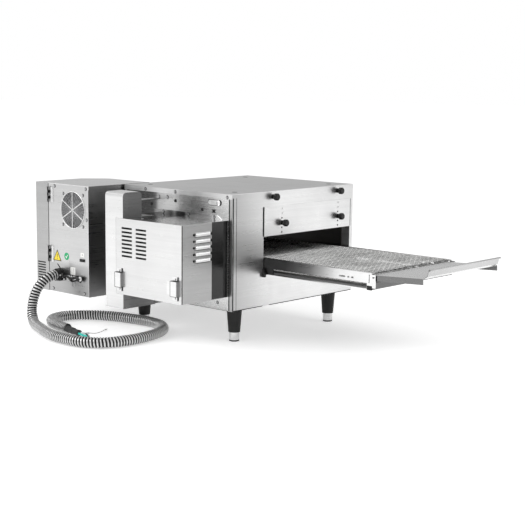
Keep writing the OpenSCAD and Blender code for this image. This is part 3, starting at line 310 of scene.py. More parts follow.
def plain_metal(name, colour, rough=0.35):
    return plain(name, colour, 1.0, rough, 0.14, 0.12, 120.0, (700.0, 2.0), 0.12)


def plain_coat(name, colour, rough=0.5, spread=0.12, scale=90.0, bump=0.2):
    return plain(name, colour, 0.0, rough, 0.12, spread, scale, (800.0, 3.0), bump)


def conduit_metal():
    """Galvanised strip of the conduit, dark down in the grooves."""
    s = Shader("conduit_metal", metallic=1.0)
    position = s.place.outputs["Object"]
    ridge = s.attribute("ridge")
    blotch = s.noise(position, 70.0, 4.0, 0.6)
    fine = s.noise(position, 600.0, 2.0)
    ridge_tone = s.math("ADD", ridge, s.span(blotch, 0.3, 0.7, -0.10, 0.10))
    s.set(Base_Color=s.ramp(ridge_tone, [(0.0, 0.02), (0.35, 0.06), (0.6, 0.34), (1.0, 0.66)]))
    s.set(Roughness=s.span(blotch, 0.3, 0.7, 0.26, 0.42))
    s.bump(fine, 0.15, 0.0003)
    return s.material


# painted shade: the belt darkens between these X where it turns down over the outfeed shaft
BELT_SHADE_X = (398, 410)


def belt_metal():
    """Drawn wire, its tone changing from wire to wire and over worn patches, with painted highlight on the
    wire tops, painted shade on their sides and painted shade where the belt turns down.
    """
    s = Shader("belt_metal", metallic=1.0)
    position = s.place.outputs["Object"]
    rows = s.noise(s.stretched((160, 9, 160)), 1.0, 2.0)
    patch = s.noise(position, 14.0, 4.0, 0.6)
    speck = s.noise(position, 260.0, 2.0)
    tone = s.math("ADD", s.span(rows, 0.25, 0.75, 0.60, 1.15), s.span(patch, 0.3, 0.7, -0.10, 0.14))
    tone = s.math("ADD", tone, s.span(speck, 0.3, 0.7, -0.10, 0.12))
    # painted highlight on the wire tops and painted shade on their sides
    up = s.split(s.place.outputs["Normal"])[2]
    tone = s.math("MULTIPLY", tone, s.span(up, 0.25, 0.75, 0.04, 1.25))
    # painted shade where the belt turns down over the outfeed shaft
    start, end = (at(x, 0, 0).x for x in BELT_SHADE_X)
    tone = s.math("MULTIPLY", tone, s.span(s.split(position)[0], start, end, 1.0, 0.08))
    s.set(Base_Color=s.ramp(tone, [(0.0, (0.02, 0.02, 0.02)), (1.0, (0.98, 0.98, 0.97))]))
    s.set(Roughness=s.span(patch, 0.3, 0.7, 0.22, 0.42))
    s.bump(speck, 0.1, 0.0002)
    return s.material


# painted shade and painted reflection: the face factors darken faces that look +X, -Y or +Z
STEEL = {
    # painted shade and highlight: the end panel is darkest at its rear edge and brightest across its
    # middle
    "end": brushed("steel_end", 0.80, axis="y",
                   sweep=[(0, 0.60), (60, 0.70), (190, 0.98), (330, 1.0), (BODY_W, 0.84)]),
    "end_in": brushed("steel_end_in", 0.66),
    "top": brushed("steel_top", 0.74, shade_plus_z=0.80, rough=0.34),
    # painted shade and reflection: the rear wall darkens towards the cable column
    "rear": brushed("steel_rear", 0.80, shade_minus_y=0.86, rough=0.24,
                    sweep=[(-BODY_L, 0.5), (-350, 0.20), (-336, 0.24), (-320, 0.72), (-120, 0.92),
                           (0, 1.0)]),
    "front": brushed("steel_front", 0.60),
    # painted highlight: the eyebrow is brightest towards its middle and darker at its ends
    "brow": brushed("steel_brow", 0.80, axis="y",
                    sweep=[(141, 0.92), (260, 0.98), (400, 1.0), (561, 0.88)]),
    "cover": brushed("steel_cover", 0.84, shade_plus_x=0.48, shade_minus_y=0.80),
    "louvre": brushed("steel_louvre", 0.88),
    "column": brushed("steel_column", 0.84, shade_plus_x=0.24, shade_minus_y=0.86),
    "box": brushed("steel_box", 0.78, shade_plus_x=0.30, shade_plus_z=0.92),
    # the hinge barrel is black, its leaves are bright
    "hinge": brushed("steel_hinge", 0.74,
                     sweep=[(DOOR_X, 0.02), (DOOR_X + 9, 0.02), (DOOR_X + 10.5, 1.0), (DOOR_X + 30, 1.0)]),
    # painted shade: the control panel is darker below about Z 100
    "panel": brushed("steel_panel", 0.78, shade_minus_y=0.70, axis="z",
                     sweep=[(0, 0.74), (92, 0.78), (104, 1.0), (TOP_Z, 1.0)]),
    "door": brushed("steel_door", 0.76, shade_minus_y=0.56, shade_plus_z=0.92,
                    sweep=[(DOOR_X - 80, 1.0), (DOOR_X, 1.0), (DOOR_X + 1.5, 0.02), (DOOR_X + 15, 0.02)]),
    # painted reflection: dark and bright bands along the housing, and painted shade on its +X faces
    "housing": brushed("steel_housing", 0.82, shade_plus_x=0.06, rough=0.14,
                       sweep=[(-350, 0.30), (-290, 0.35), (-262, 0.10), (-246, 0.35), (-236, 0.10),
                              (-204, 0.14), (-194, 0.95), (0, 1.0)]),
    # painted shade and reflection: the rail is dark along the body and bright past the outfeed end
    "rail": brushed("steel_rail", 0.80,
                    sweep=[(RAIL_X0, 0.95), (-BODY_L - 20, 0.9), (-BODY_L + 10, 0.04), (-8, 0.04),
                           (90, 0.08), (190, 0.36), (290, 0.96), (RAIL_X1, 1.0)]),
    "tray": brushed("steel_tray", 0.80, shade_plus_x=0.66, shade_minus_y=0.22, shade_plus_z=0.92, rough=0.26),
    "strap": brushed("steel_strap", 0.74, shade_plus_x=0.35),
    # painted shade: the inside, the crumb trays and the base pan are toned dark because they lie in shade
    # inside and under the body
    "inside": brushed("steel_inside", 0.11, rough=0.34, tint=(1.0, 0.97, 0.94)),
    "crumb": brushed("steel_crumb", 0.16, rough=0.36),
    "pan": brushed("steel_pan", 0.45, rough=0.36),
    "guard": brushed("steel_guard", 0.78),
}
BLACK = black_plastic("knob_black")
BLACK_SATIN = black_plastic("moulded_black", 0.006, 0.42, 500.0)
POWDER = powder_black("powder_black")
FOOT = turned_metal("foot_metal", 0.66)
SHAFT = turned_metal("shaft_metal", 0.55, 0.3)
SCREW = plain_metal("screw_metal", (0.62, 0.62, 0.63), 0.3)
DARK_WIRE = plain_metal("chain_metal", (0.30, 0.29, 0.28), 0.4)
MOTOR = plain_coat("motor_paint", (0.05, 0.055, 0.06), 0.4)
WOOL = plain_coat("mineral_wool", (0.62, 0.56, 0.36), 0.9, 0.3, 300.0, 0.9)
BOARD = plain_coat("circuit_board", (0.02, 0.12, 0.05), 0.35)
RUBBER = plain_coat("hose_rubber", (0.035, 0.035, 0.036), 0.55, 0.3, 140.0, 0.3)
GREY_LEAD = plain_coat("lead_grey", (0.30, 0.29, 0.28), 0.4, 0.15)
WHITE_LEAD = plain_coat("lead_white", (0.75, 0.78, 0.78), 0.35, 0.08)
GREEN_LEAD = plain_coat("lead_green", (0.02, 0.55, 0.46), 0.35, 0.15)
BLACK_LEAD = plain_coat("lead_black", (0.02, 0.025, 0.024), 0.4, 0.2)
GRILLE = plain_metal("grille_wire", (0.52, 0.52, 0.53))
SCREW_BRIGHT = plain_metal("strap_metal", (0.78, 0.78, 0.78), 0.3)
# black for real joints and cross cuts, and for painted shadow strips, sheets and rings
JOINT_AND_SHADOW_BLACK = black_plastic("joint_and_shadow_black", 0.002, 0.7, 600.0)
LABEL_BLACK = plain_coat("label_black", (0.01, 0.01, 0.01), 0.4, 0.3)
LABEL_YELLOW = plain_coat("label_yellow", (0.85, 0.66, 0.04), 0.4, 0.06)
LABEL_GREEN = plain_coat("label_green", (0.01, 0.36, 0.14), 0.4, 0.1)
LABEL_WHITE = plain_coat("label_white", (0.80, 0.80, 0.78), 0.45, 0.05)
LABEL_GREY = plain_coat("label_grey", (0.35, 0.34, 0.33), 0.45, 0.1)
CONDUIT = conduit_metal()
BELT = belt_metal()

NODE_MATERIAL = {
    "outfeed_end_panel": STEEL["end"], "infeed_end_panel": STEEL["end_in"], "top_cover": STEEL["top"],
    "rear_panel": STEEL["rear"], "front_panel": STEEL["front"], "base_pan": STEEL["pan"],
    "outfeed_eyebrow": STEEL["brow"], "infeed_eyebrow": STEEL["end_in"],
    "motor_cover": STEEL["cover"], "motor_housing": STEEL["housing"], "cable_column": STEEL["column"],
    "cover_straps": STEEL["strap"], "control_box": STEEL["box"], "control_rear_panel": STEEL["panel"],
    "control_door": STEEL["door"], "conveyor_frame": STEEL["rail"], "exit_tray": STEEL["tray"],
    "crumb_tray_outfeed": STEEL["crumb"], "crumb_tray_infeed": STEEL["crumb"],
    "chain_guard": STEEL["guard"], "inner_liner": STEEL["inside"], "upper_air_duct": STEEL["inside"],
    "lower_air_duct": STEEL["inside"], "blower_wheel": STEEL["inside"], "heater_element": DARK_WIRE,
    "temperature_probe": SCREW, "body_screws": SCREW, "drive_shaft": SHAFT, "idler_shaft": SHAFT,
    "motor_sprocket": SHAFT, "shaft_bushings": SCREW, "drive_chain": DARK_WIRE, "blower_motor": MOTOR,
    "gear_motor": MOTOR, "insulation": WOOL, "control_electronics": BOARD, "fan_frame": BLACK_SATIN,
    "fan_rotor": BLACK_SATIN, "control_hinges": STEEL["hinge"], "legs": POWDER, "cable_gland": BLACK_SATIN,
    "key_up": BLACK, "key_down": BLACK, "power_rocker": BLACK, "fan_guard": SCREW,
    "wire_belt": BELT, "conduit_hose": CONDUIT, "hose_end_wires": RUBBER,
}


def dress_nodes():
    for name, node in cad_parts.items():
        if name.startswith("foot_"):
            material = FOOT
        elif "knob" in name:
            material = BLACK
        else:
            material = NODE_MATERIAL[name]
        node.data.materials.clear()
        node.data.materials.append(material)


dress_nodes()


# ---------------------------------------------------------------- mesh helpers

SHARP_ANGLE = math.radians(40)


def piece(name, verts, faces, material, body=OVEN, slot=None, smooth=False):
    """A mesh piece that rides on a body."""
    mesh = bpy.data.meshes.new(name)
    mesh.from_pydata([tuple(v) for v in verts], [], faces)
    mesh.materials.append(material)
    if smooth:
        mesh.polygons.foreach_set("use_smooth", [True] * len(mesh.polygons))
        mesh.set_sharp_from_angle(angle=SHARP_ANGLE)
    mesh.update()
    made = bpy.data.objects.new(name, mesh)
    bpy.context.scene.collection.objects.link(made)
    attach(made, body)
    return made


def carried_frames(points):
    """(point, side, up) at each point, turning as little as possible along the run."""
    heads = []
    for i in range(len(points)):
        heads.append((points[min(i + 1, len(points) - 1)] - points[max(i - 1, 0)]).normalized())
    start = Vector((0, 0, 1)) if abs(heads[0].z) < 0.9 else Vector((1, 0, 0))
    side = heads[0].cross(start).normalized()
    made = []
    for i, head in enumerate(heads):
        side = (side - head * side.dot(head)).normalized()
        made.append((points[i], side, side.cross(head)))
    return made


def sweep(points, radius, sides):
    """Closed tube along the points. radius is a number or a function of (ring, side number)."""
    verts, faces = [], []
    for i, (p, side, up) in enumerate(carried_frames(points)):
        for k in range(sides):
            a = 2 * math.pi * k / sides
            r = radius(i, k) if callable(radius) else radius
            verts.append(p + (side * math.cos(a) + up * math.sin(a)) * r)
    for i in range(len(points) - 1):
        for k in range(sides):
            a, b = i * sides + k, i * sides + (k + 1) % sides
            faces.append((a, b, b + sides, a + sides))
    faces.append(tuple(range(sides))[::-1])
    faces.append(tuple(range(len(verts) - sides, len(verts))))
    return verts, faces


def joined(parts):
    """Several (verts, faces) as one."""
    verts, faces = [], []
    for v, f in parts:
        base = len(verts)
        verts += v
        faces += [tuple(i + base for i in face) for face in f]
    return verts, faces


def spline(points, steps):
    """Smooth curve through the points."""
    made = []
    last = len(points) - 1
    for i in range(last):
        a, b, c, d = (points[max(i - 1, 0)], points[i], points[i + 1], points[min(i + 2, last)])
        for k in range(steps):
            t = k / steps
            made.append(0.5 * (2 * b + (c - a) * t + (2 * a - 5 * b + 4 * c - d) * t * t
                               + (3 * b - a - 3 * c + d) * t ** 3))
    made.append(points[last])
    return made


def run_length(points):
    return sum((b - a).length for a, b in zip(points, points[1:]))


def even_points(points, gap):
    """Points a set distance apart along a run, its two ends kept."""
    total = run_length(points)
    count = max(2, round(total / gap))
    made, travelled, i = [points[0]], 0.0, 0
    for n in range(1, count):
        goal = total * n / count
        while travelled + (points[i + 1] - points[i]).length < goal:
            travelled += (points[i + 1] - points[i]).length
            i += 1
        share = (goal - travelled) / (points[i + 1] - points[i]).length
        made.append(points[i].lerp(points[i + 1], share))
    return made + [points[-1]]


# ---------------------------------------------------------------- conduit hose

HOSE_R = 17
# X and Z of the gland's middle on the rear panel
GLAND = (-631, 60)
# the run on the floor clears it by a hair
HOSE_RUN_Z = FLOOR_Z + HOSE_R + 0.8
# route: out of the gland, down to the floor, then round in a loose loop
HOSE_ROUTE = [
    (GLAND[0], PANEL_Y - 24.6, GLAND[1]), (GLAND[0], PANEL_Y - 37, GLAND[1] - 1),
    (-632, -196, 55), (-636, -212, 45), (-643, -231, 22), (-648, -243, -8),
    (-648, -250, -38), (-640, -256, -62), (-622, -264, -79), (-598, -275, HOSE_RUN_Z + 0.6),
] + [(x, y, HOSE_RUN_Z) for x, y in (
    (-570, -287), (-530, -304), (-480, -325), (-400, -345), (-300, -342), (-235, -300),
    (-212, -225), (-218, -130), (-250, -50), (-310, 0), (-380, 14), (-450, 8), (-530, -8),
    (-595, -40), (-640, -90), (-650, -140), (-630, -185), (-590, -213), (-535, -232), (-475, -246))]
GROOVE_R = HOSE_R - 2.5
RIDGE_RISE = 2.4
RIDGE_PITCH = 9.2
RINGS_PER_RIDGE = 8
HOSE_SIDES = 24


def ridge_height(turn):
    """0 in the groove and 1 on the band, for a share of one pitch."""
    wave = abs((turn % 1.0) - 0.5) * 2
    share = max(0.0, min(1.0, (wave - 0.34) / 0.30))
    return 1 - share ** 2 * (3 - 2 * share)


def make_hose():
    route = spline([at(*p) for p in HOSE_ROUTE], 12)
    points = even_points(route, RIDGE_PITCH * MM / RINGS_PER_RIDGE)

    def height(i, k):
        return ridge_height(i / RINGS_PER_RIDGE + k / HOSE_SIDES)

    verts, faces = sweep(points, lambda i, k: (GROOVE_R + RIDGE_RISE * height(i, k)) * MM, HOSE_SIDES)
    hose = piece("conduit", verts, faces, CONDUIT, slot="conduit", smooth=True)
    ridge = hose.data.attributes.new("ridge", "FLOAT", "POINT")
    ridge.data.foreach_set("value", [height(i, k) for i in range(len(points)) for k in range(HOSE_SIDES)])
    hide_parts("conduit_hose")
    return hose, points


hose, hose_points = make_hose()
hose_end = hose_points[-1]
hose_heading = (hose_points[-1] - hose_points[-4]).normalized()


# (distance from the hose's end, radius) along the rubber sleeve and its two bands
SLEEVE = [(0.3, 10.4), (2, 10.9), (16, 10.9), (17, 9.8), (30, 9.6), (31, 10.6), (44, 10.6),
          (45, 9.4), (74, 9.0), (75, 10.2), (81, 10.2), (82, 9.0)]
# each lead: its place across the sleeve's mouth, radius, route from there and coat
LEADS = [
    ("lead_line", 4, 3.4, [(18, 6, 2), (34, 9, 3)], WHITE_LEAD),
    ("lead_earth", -3, 3.4, [(22, -2, -3), (44, 4, -5)], GREEN_LEAD),
    ("lead_neutral", 1, 2.1, [(20, 6, 2), (44, 0, -3), (78, -20, -9), (112, -44, -13),
                              (128, -58, -13)], BLACK_LEAD),
    ("lead_ring", 2, 1.1, [(16, 24, -1), (8, 58, -8), (-14, 98, -13), (-36, 138, -14)], GREY_LEAD),
]


def make_hose_end():
    """Rubber sleeve with its bands, and the four leads with their terminals."""
    line = [hose_end + hose_heading * d * MM for d, _ in SLEEVE]
    sleeve = piece("hose_sleeve", *sweep(line, lambda i, k: SLEEVE[i][1] * MM, 32), RUBBER,
                   slot="hose_rubber", smooth=True)
    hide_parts("hose_end_wires")
    tip = hose_end + hose_heading * (SLEEVE[-1][0] - 4) * MM
    side = hose_heading.cross(Vector((0, 0, 1))).normalized()
    start = (tip - CORNER) / MM
    made = [sleeve]
    for name, across, radius, ends, material in LEADS:
        places = [start + Vector((0, across, 0))] + [start + Vector(e) for e in ends]
        route = spline([at(*p) for p in places], 8)
        made.append(piece(name, *sweep(route, radius * MM, 12), material, slot="hose_rubber", smooth=True))
        heading = (route[-1] - route[-3]).normalized()
        barrel = [route[-1] + heading * d * MM for d in (-5, -4, 1, 2)]
        widths = [radius, radius + 0.7, radius + 0.7, radius]
        made.append(piece(name + "_ferrule", *sweep(barrel, lambda i, k: widths[i] * MM, 12), SCREW,
                          slot="hose_rubber", smooth=True))
        if name == "lead_ring":
            centre = route[-1] + heading * 5 * MM
            eye = [centre + (heading * math.cos(a) + side * math.sin(a)) * 4 * MM
                   for a in (2 * math.pi * n / 20 for n in range(21))]
            made.append(piece("lead_ring_eye", *sweep(eye, 0.9 * MM, 6), DARK_WIRE,
                              slot="hose_rubber", smooth=True))
    return made


hose_fittings = make_hose_end()


# ---------------------------------------------------------------- wire belt

BELT_ROW = 8.0
BELT_R = 18
HALF_WAVES = 30
WEAVE_WIRE = 0.95
# how far a wire reaches past its own row, as a share of the pitch, and rises out of the belt
WEAVE_REACH = 0.53
WEAVE_LIFT = 0.5
# how far the shafts stand in from the ends of the rails
DRIVE_IN = 22
IDLER_IN = 36


def make_belt():
    """Woven belt: zigzag wires across the loop, each hooked into the next."""
    drive, idler = RAIL_X0 + DRIVE_IN, RAIL_X1 - IDLER_IN
    low, high = mm_box("wire_belt")
    radius, height = BELT_R, mm_middle("wire_belt").z
    y0, y1 = (at(0, y, 0).y for y in (low.y + 0.8, high.y - 0.8))
    straight = idler - drive
    total = 2 * straight + 2 * math.pi * radius
    rows = 2 * round(total / BELT_ROW / 2)
    pitch = total / rows

    def on_loop(s, out):
        s %= total
        if s < straight:
            return idler - s, height + radius + out
        s -= straight
        if s < math.pi * radius:
            a = math.pi / 2 + s / radius
            return drive + (radius + out) * math.cos(a), height + (radius + out) * math.sin(a)
        s -= math.pi * radius
        if s < straight:
            return drive + s, height - radius - out
        a = -math.pi / 2 + (s - straight) / radius
        return idler + (radius + out) * math.cos(a), height + (radius + out) * math.sin(a)

    def point(s, out, y):
        x, z = on_loop(s, out)
        p = at(x, 0, z)
        return Vector((p.x, y, p.z))

    parts, edges = [], []
    for row in range(rows):
        s = row * pitch
        sign = 1 if row % 2 else -1
        path = []
        for n in range(HALF_WAVES + 1):
            flip = sign * (1 if n % 2 else -1)
            y = y0 + (y1 - y0) * n / HALF_WAVES
            path.append(point(s + flip * pitch * WEAVE_REACH, flip * WEAVE_LIFT * sign, y))
        parts.append(sweep(path, WEAVE_WIRE * MM, 4))
        for y, out in ((y0, 1), (y1, -1)):
            edge = [point(s - pitch * 0.5, 0, y), point(s - pitch * 0.3, 0, y + out * 0.0006),
                    point(s + pitch * 0.3, 0, y + out * 0.0006), point(s + pitch * 0.5, 0, y)]
            edges.append(sweep(edge, lambda i, k: (1.4 if i in (1, 2) else 0.6) * MM, 6))
    belt = piece("belt_weave", *joined(parts), BELT, slot="belt_wire")
    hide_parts("wire_belt")
    # the edge knuckles are real; their dark tone is painted shadow of the gap beside the rail flange
    piece("belt_edges", *joined(edges), DARK_WIRE, slot="belt_wire", smooth=True)


make_belt()


# ---------------------------------------------------------------- fan guard

def ring_wire(centre, radius, wire, steps=48, sides=6):
    """Closed wire ring standing in the XZ plane."""
    verts, faces = [], []
    for i in range(steps):
        a = 2 * math.pi * i / steps
        out = Vector((math.cos(a), 0, math.sin(a)))
        for k in range(sides):
            b = 2 * math.pi * k / sides
            verts.append(centre + out * (radius + wire * math.cos(b)) + Vector((0, wire * math.sin(b), 0)))
    for i in range(steps):
        for k in range(sides):
            a, b = i * sides + k, i * sides + (k + 1) % sides
            c, d = ((i + 1) % steps) * sides + (k + 1) % sides, ((i + 1) % steps) * sides + k
            faces.append((a, b, c, d))
    return verts, faces


def slab(corner_a, corner_b):
    """Box between two row-frame corners."""
    (x0, y0, z0), (x1, y1, z1) = corner_a, corner_b
    x0, x1 = min(x0, x1), max(x0, x1)
    y0, y1 = min(y0, y1), max(y0, y1)
    z0, z1 = min(z0, z1), max(z0, z1)
    verts = [Vector((x, y, z)) for z in (z0, z1) for y in (y0, y1) for x in (x0, x1)]
    faces = [(0, 2, 3, 1), (4, 5, 7, 6), (0, 1, 5, 4), (2, 6, 7, 3), (1, 3, 7, 5), (0, 4, 6, 2)]
    return verts, faces


FAN_X, FAN_Z = mm_middle("fan_frame").x, mm_middle("fan_frame").z
GRILLE_RINGS = [4.5 + 4.1 * n for n in range(13)]
SPOKES = 40
GRILLE_R = 58.6


def make_fan_guard():
    """Fine wire grille with three flat straps and its rim."""
    centre = at(FAN_X, PANEL_Y - 1.6, FAN_Z)
    parts = [ring_wire(centre, r * MM, 0.55 * MM) for r in GRILLE_RINGS]
    for n in range(SPOKES):
        a = 2 * math.pi * n / SPOKES
        out = Vector((math.cos(a), 0, math.sin(a)))
        inner = 12 if n % 2 else 4
        line = [centre + out * r * MM + Vector((0, 0.8 * MM, 0)) for r in (inner, 57)]
        parts.append(sweep(line, 0.5 * MM, 5))
    grille = piece("fan_grille", *joined(parts), GRILLE, slot="steel")
    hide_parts("fan_guard")
    parts = []
    base = at(FAN_X, PANEL_Y, FAN_Z)
    for degrees in (30, 90, 150):
        a = math.radians(degrees)
        out, across = Vector((math.cos(a), 0, math.sin(a))), Vector((-math.sin(a), 0, math.cos(a)))
        verts, faces = slab((-60 * MM, -2.6 * MM, -1.3 * MM), (60 * MM, -1.5 * MM, 1.3 * MM))
        parts.append(([base + out * v.x + Vector((0, v.y, 0)) + across * v.z for v in verts], faces))
    parts.append(ring_wire(at(FAN_X, PANEL_Y - 0.8, FAN_Z), GRILLE_R * MM, 1.6 * MM, 64, 8))
    piece("fan_straps", *joined(parts), SCREW_BRIGHT, slot="steel")


make_fan_guard()


# ---------------------------------------------------------------- small parts

def prism(axis, outline, low, high):
    """Outline drawn across an axis and pushed from low to high, all in mm from the corner."""
    def place(a, b, level):
        return {"x": at(level, a, b), "y": at(a, level, b), "z": at(a, b, level)}[axis]
    n = len(outline)
    verts = [place(a, b, level) for level in (low, high) for a, b in outline]
    turn = sum(a[0] * b[1] - b[0] * a[1] for a, b in zip(outline, outline[1:] + outline[:1]))
    ends = [tuple(range(n))[::-1], tuple(range(n, 2 * n))]
    walls = [(k, (k + 1) % n, n + (k + 1) % n, n + k) for k in range(n)]
    faces = ends + walls
    if (turn < 0) != (axis == "y"):
        faces = [face[::-1] for face in faces]
    return verts, faces


def bar(axis, a, b, low, high, edge=0.3):
    """Bar with chamfered long edges; a and b are its spans across the axis."""
    (a0, a1), (b0, b1) = a, b
    outline = [(a0 + edge, b0), (a1 - edge, b0), (a1, b0 + edge), (a1, b1 - edge),
               (a1 - edge, b1), (a0 + edge, b1), (a0, b1 - edge), (a0, b0 + edge)]
    return prism(axis, outline, low, high)


def turned(place, direction, profile, sides=24):
    """Round piece standing on a place; profile is (height, radius) in mm."""
    line = [at(*place) + Vector(direction) * height * MM for height, _ in profile]
    return sweep(line, lambda i, k: profile[i][1] * MM, sides)


def islands(node):
    """(low, high) corners of each separate solid in a CAD node, in metres."""
    mesh = node.data
    leader = list(range(len(mesh.vertices)))

    def find(i):
        while leader[i] != i:
            leader[i] = leader[leader[i]]
            i = leader[i]
        return i

    seen = {}
    for vertex in mesh.vertices:
        key = tuple(round(c, 6) for c in vertex.co)
        leader[vertex.index] = seen.setdefault(key, vertex.index)
    for edge in mesh.edges:
        a, b = find(edge.vertices[0]), find(edge.vertices[1])
        leader[a] = b
    groups = {}
    for vertex in mesh.vertices:
        groups.setdefault(find(vertex.index), []).append(node.matrix_world @ vertex.co)
    return [(Vector([min(v[k] for v in group) for k in range(3)]),
             Vector([max(v[k] for v in group) for k in range(3)])) for group in groups.values()]


def make_screw_details():
    """Ring of painted shadow under each screw head, and a cross cut in each head."""
    shadow_rings, crosses = [], []
    for low, high in islands(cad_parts["body_screws"]):
        size, centre = high - low, (low + high) / 2
        thin = min(range(3), key=lambda k: size[k])
        out = 1 if thin == 2 or centre.y > 0 else -1
        direction = Vector([out if k == thin else 0 for k in range(3)])
        base = Vector(centre)
        base[thin] = low[thin] if out > 0 else high[thin]
        radius = max(size) / 2 / MM
        foot = (base - CORNER) / MM
        # painted shadow: a dark ring round the screw head
        shadow_rings.append(turned(foot, direction, [(0.02, radius + 2.0), (0.35, radius + 1.9),
                                                (0.5, radius + 0.8)]))
        crown = foot + direction * (size[thin] / MM)
        for j in range(3):
            if j == thin:
                continue
            across = Vector([1 if k == j else 0 for k in range(3)])
            ends = [at(*(crown + across * d)) for d in (-2.2, -1.9, 1.9, 2.2)]
            crosses.append(sweep(ends, lambda i, k: (0.2, 0.42, 0.42, 0.2)[i] * MM, 6))
    piece("screw_shadow_rings", *joined(shadow_rings), JOINT_AND_SHADOW_BLACK, slot="black_metal", smooth=True)
    piece("screw_crosses", *joined(crosses), JOINT_AND_SHADOW_BLACK, slot="black_metal", smooth=True)


def rect(x0, z0, x1, z1):
    return [(x0, z0), (x1, z0), (x1, z1), (x0, z1)]


def disc(x, z, radius, sides):
    return [(x + radius * math.cos(a), z + radius * math.sin(a))
            for a in (math.tau * n / sides for n in range(sides))]


def make_labels():
    """Generic stickers of the control panel: no words, only shapes."""
    # name, material, how far it stands off the panel, and its outlines as (x, z) points
    stages = [
        ("label_border", LABEL_BLACK, 0.25, [[(-669, 103), (-627, 103), (-648, 140)]]),
        ("label_yellow", LABEL_YELLOW, 0.40, [[(-664.5, 105.6), (-631.5, 105.6), (-648, 134.4)]]),
        ("label_mark", LABEL_BLACK, 0.55, [[(-649.6, 126), (-646.4, 126), (-647.1, 114), (-648.9, 114)],
                                           rect(-649.4, 109, -646.6, 111.5)]),
        ("label_green", LABEL_GREEN, 0.3, [disc(-600, 122, 12, 32)]),
        ("label_tick", LABEL_WHITE, 0.5, [[(-606, 121), (-601.5, 115), (-594, 126), (-596, 128),
                                           (-601.5, 119.6), (-604, 123.2)]]),
        ("label_plates", LABEL_WHITE, 0.3, [rect(-581, 65, -557, 90), rect(-530, 127, -513, 141)]),
        ("label_lines", LABEL_GREY, 0.42, [rect(-575, 68, -573, 87), rect(-566, 68, -564, 87),
                                           rect(-523, 131, -520, 138)]),
    ]
    for name, material, depth, outlines in stages:
        stickers = [prism("y", outline, PANEL_Y - depth, PANEL_Y) for outline in outlines]
        piece(name, *joined(stickers), material, slot="black_plastic")


# routes of the tie and of the leads that lie below the gland
TIE_ROUTE = [(-640, -166, 66), (-624, -172, 80), (-604, -170, 80), (-606, -169, 88), (-616, -170, 99)]
LOW_ROUTE = [(-612, -158, 64), (-596, -164, 58), (-580, -162, 62), (-560, -164, 55), (-540, -160, 60),
             (-524, -158, 56)]
OUT_REAR = (0, -1, 0)


def make_gland_details():
    """Tie, clamp ring and leads of the gland, and the bright rims of the sockets beside it."""
    tie = spline([at(*p) for p in TIE_ROUTE], 8)
    low = spline([at(*p) for p in LOW_ROUTE], 6)
    parts = [sweep(tie, lambda i, k: (3.0 - 1.6 * i / len(tie)) * MM, 10),
             turned((GLAND[0], PANEL_Y - 8, GLAND[1]), OUT_REAR,
                    [(0, 18.6), (1, 20.2), (6, 20.4), (7, 18.8)], 12),
             sweep(low, 4.2 * MM, 10),
             sweep([p + Vector((0.004, 0.004, -0.008)) for p in low], 3.2 * MM, 10)]
    piece("gland_leads", *joined(parts), BLACK, slot="black_plastic", smooth=True)
    rims = []
    for i in range(3):
        place = (-574 + 27 * i, PANEL_Y - 16 + 2 * i, 56 + i)
        radius = 9 - i
        rims.append(turned(place, OUT_REAR, [(-2, radius + 0.1), (-1, radius + 0.7), (0.4, radius + 0.5),
                                             (0.8, radius - 1), (0.3, radius - 1.6)]))
    for place in ((-604, -170, 62), (-588, -167, 52), (-552, -166, 64)):
        rims.append(turned(place, OUT_REAR, [(-3, 2), (0, 2.8), (1.2, 2.4), (1.6, 1)], 12))
    piece("socket_rims", *joined(rims), SCREW_BRIGHT, slot="shaft_steel", smooth=True)
    loop = ring_wire(at(-567.5, PANEL_Y - 1.6, 34), 8.5 * MM, 0.8 * MM)
    piece("lead_loop", *loop, SCREW, slot="steel", smooth=True)


# X and Z of the rear wall's plugs, and X and Y of the top's recesses
WALL_PLUGS = [(-244, 319), (-353, 302), (-126, 301), (-77, 300)]
TOP_RECESSES = [(x, y) for x in (-52, -428) for y in (513, 64)]
PLATE_X, PLATE_Z = -73, 326
PLATE_CAP_X = -55


def make_wall_details():
    """Plugs in the rear wall and in the recesses of the top, and the oval plate with its cap."""
    plugs = [turned((x, 0.2, z), OUT_REAR, [(0, 3.1), (0.6, 5.2), (1.6, 4.8), (2.0, 2.5)])
             for x, z in WALL_PLUGS]
    for z in (296, 304):
        plugs.append(bar("y", (-84, -70), (z - 1, z + 1), -2.2, 0))
    for x, y in TOP_RECESSES:
        plugs.append(turned((x, y, TOP_Z), (0, 0, 1), [(-0.8, 8.6), (0.1, 8.4), (0.3, 6), (0.0, 4)]))
    piece("wall_plugs", *joined(plugs), BLACK_SATIN, slot="black_plastic", smooth=True)
    # half the plate's straight length, and the radius of its round ends
    half, end = 19, 7.5
    outline = [(PLATE_X + side * half + end * math.cos(a), PLATE_Z + end * math.sin(a))
               for side, first in ((1, -90), (-1, 90))
               for a in (math.radians(first + 180 * n / 10) for n in range(11))]
    # painted shadow: a black outline round the oval plate
    shadow = [(x + math.copysign(1.6, x - PLATE_X), z + math.copysign(1.4, z - PLATE_Z))
              for x, z in outline]
    piece("wall_plate_shadow", *prism("y", shadow, -0.7, 0), JOINT_AND_SHADOW_BLACK, slot="black_plastic")
    cap = turned((PLATE_CAP_X, -1.4, PLATE_Z), OUT_REAR, [(0, 8.2), (2.5, 8), (3.4, 6.6), (3.2, 4)])
    piece("wall_plate", *joined([prism("y", outline, -1.8, -0.5), cap]), SCREW_BRIGHT, slot="steel",
          smooth=True)
    piece("wall_plate_ring", *ring_wire(at(PLATE_CAP_X, -2, PLATE_Z), 8.4 * MM, 0.9 * MM), BLACK_SATIN,
          slot="black_plastic", smooth=True)


def past_end(side, x):
    """X of a place that far past the outfeed face (side 1) or past the infeed face (side -1)."""
    return x if side > 0 else -BODY_L - x


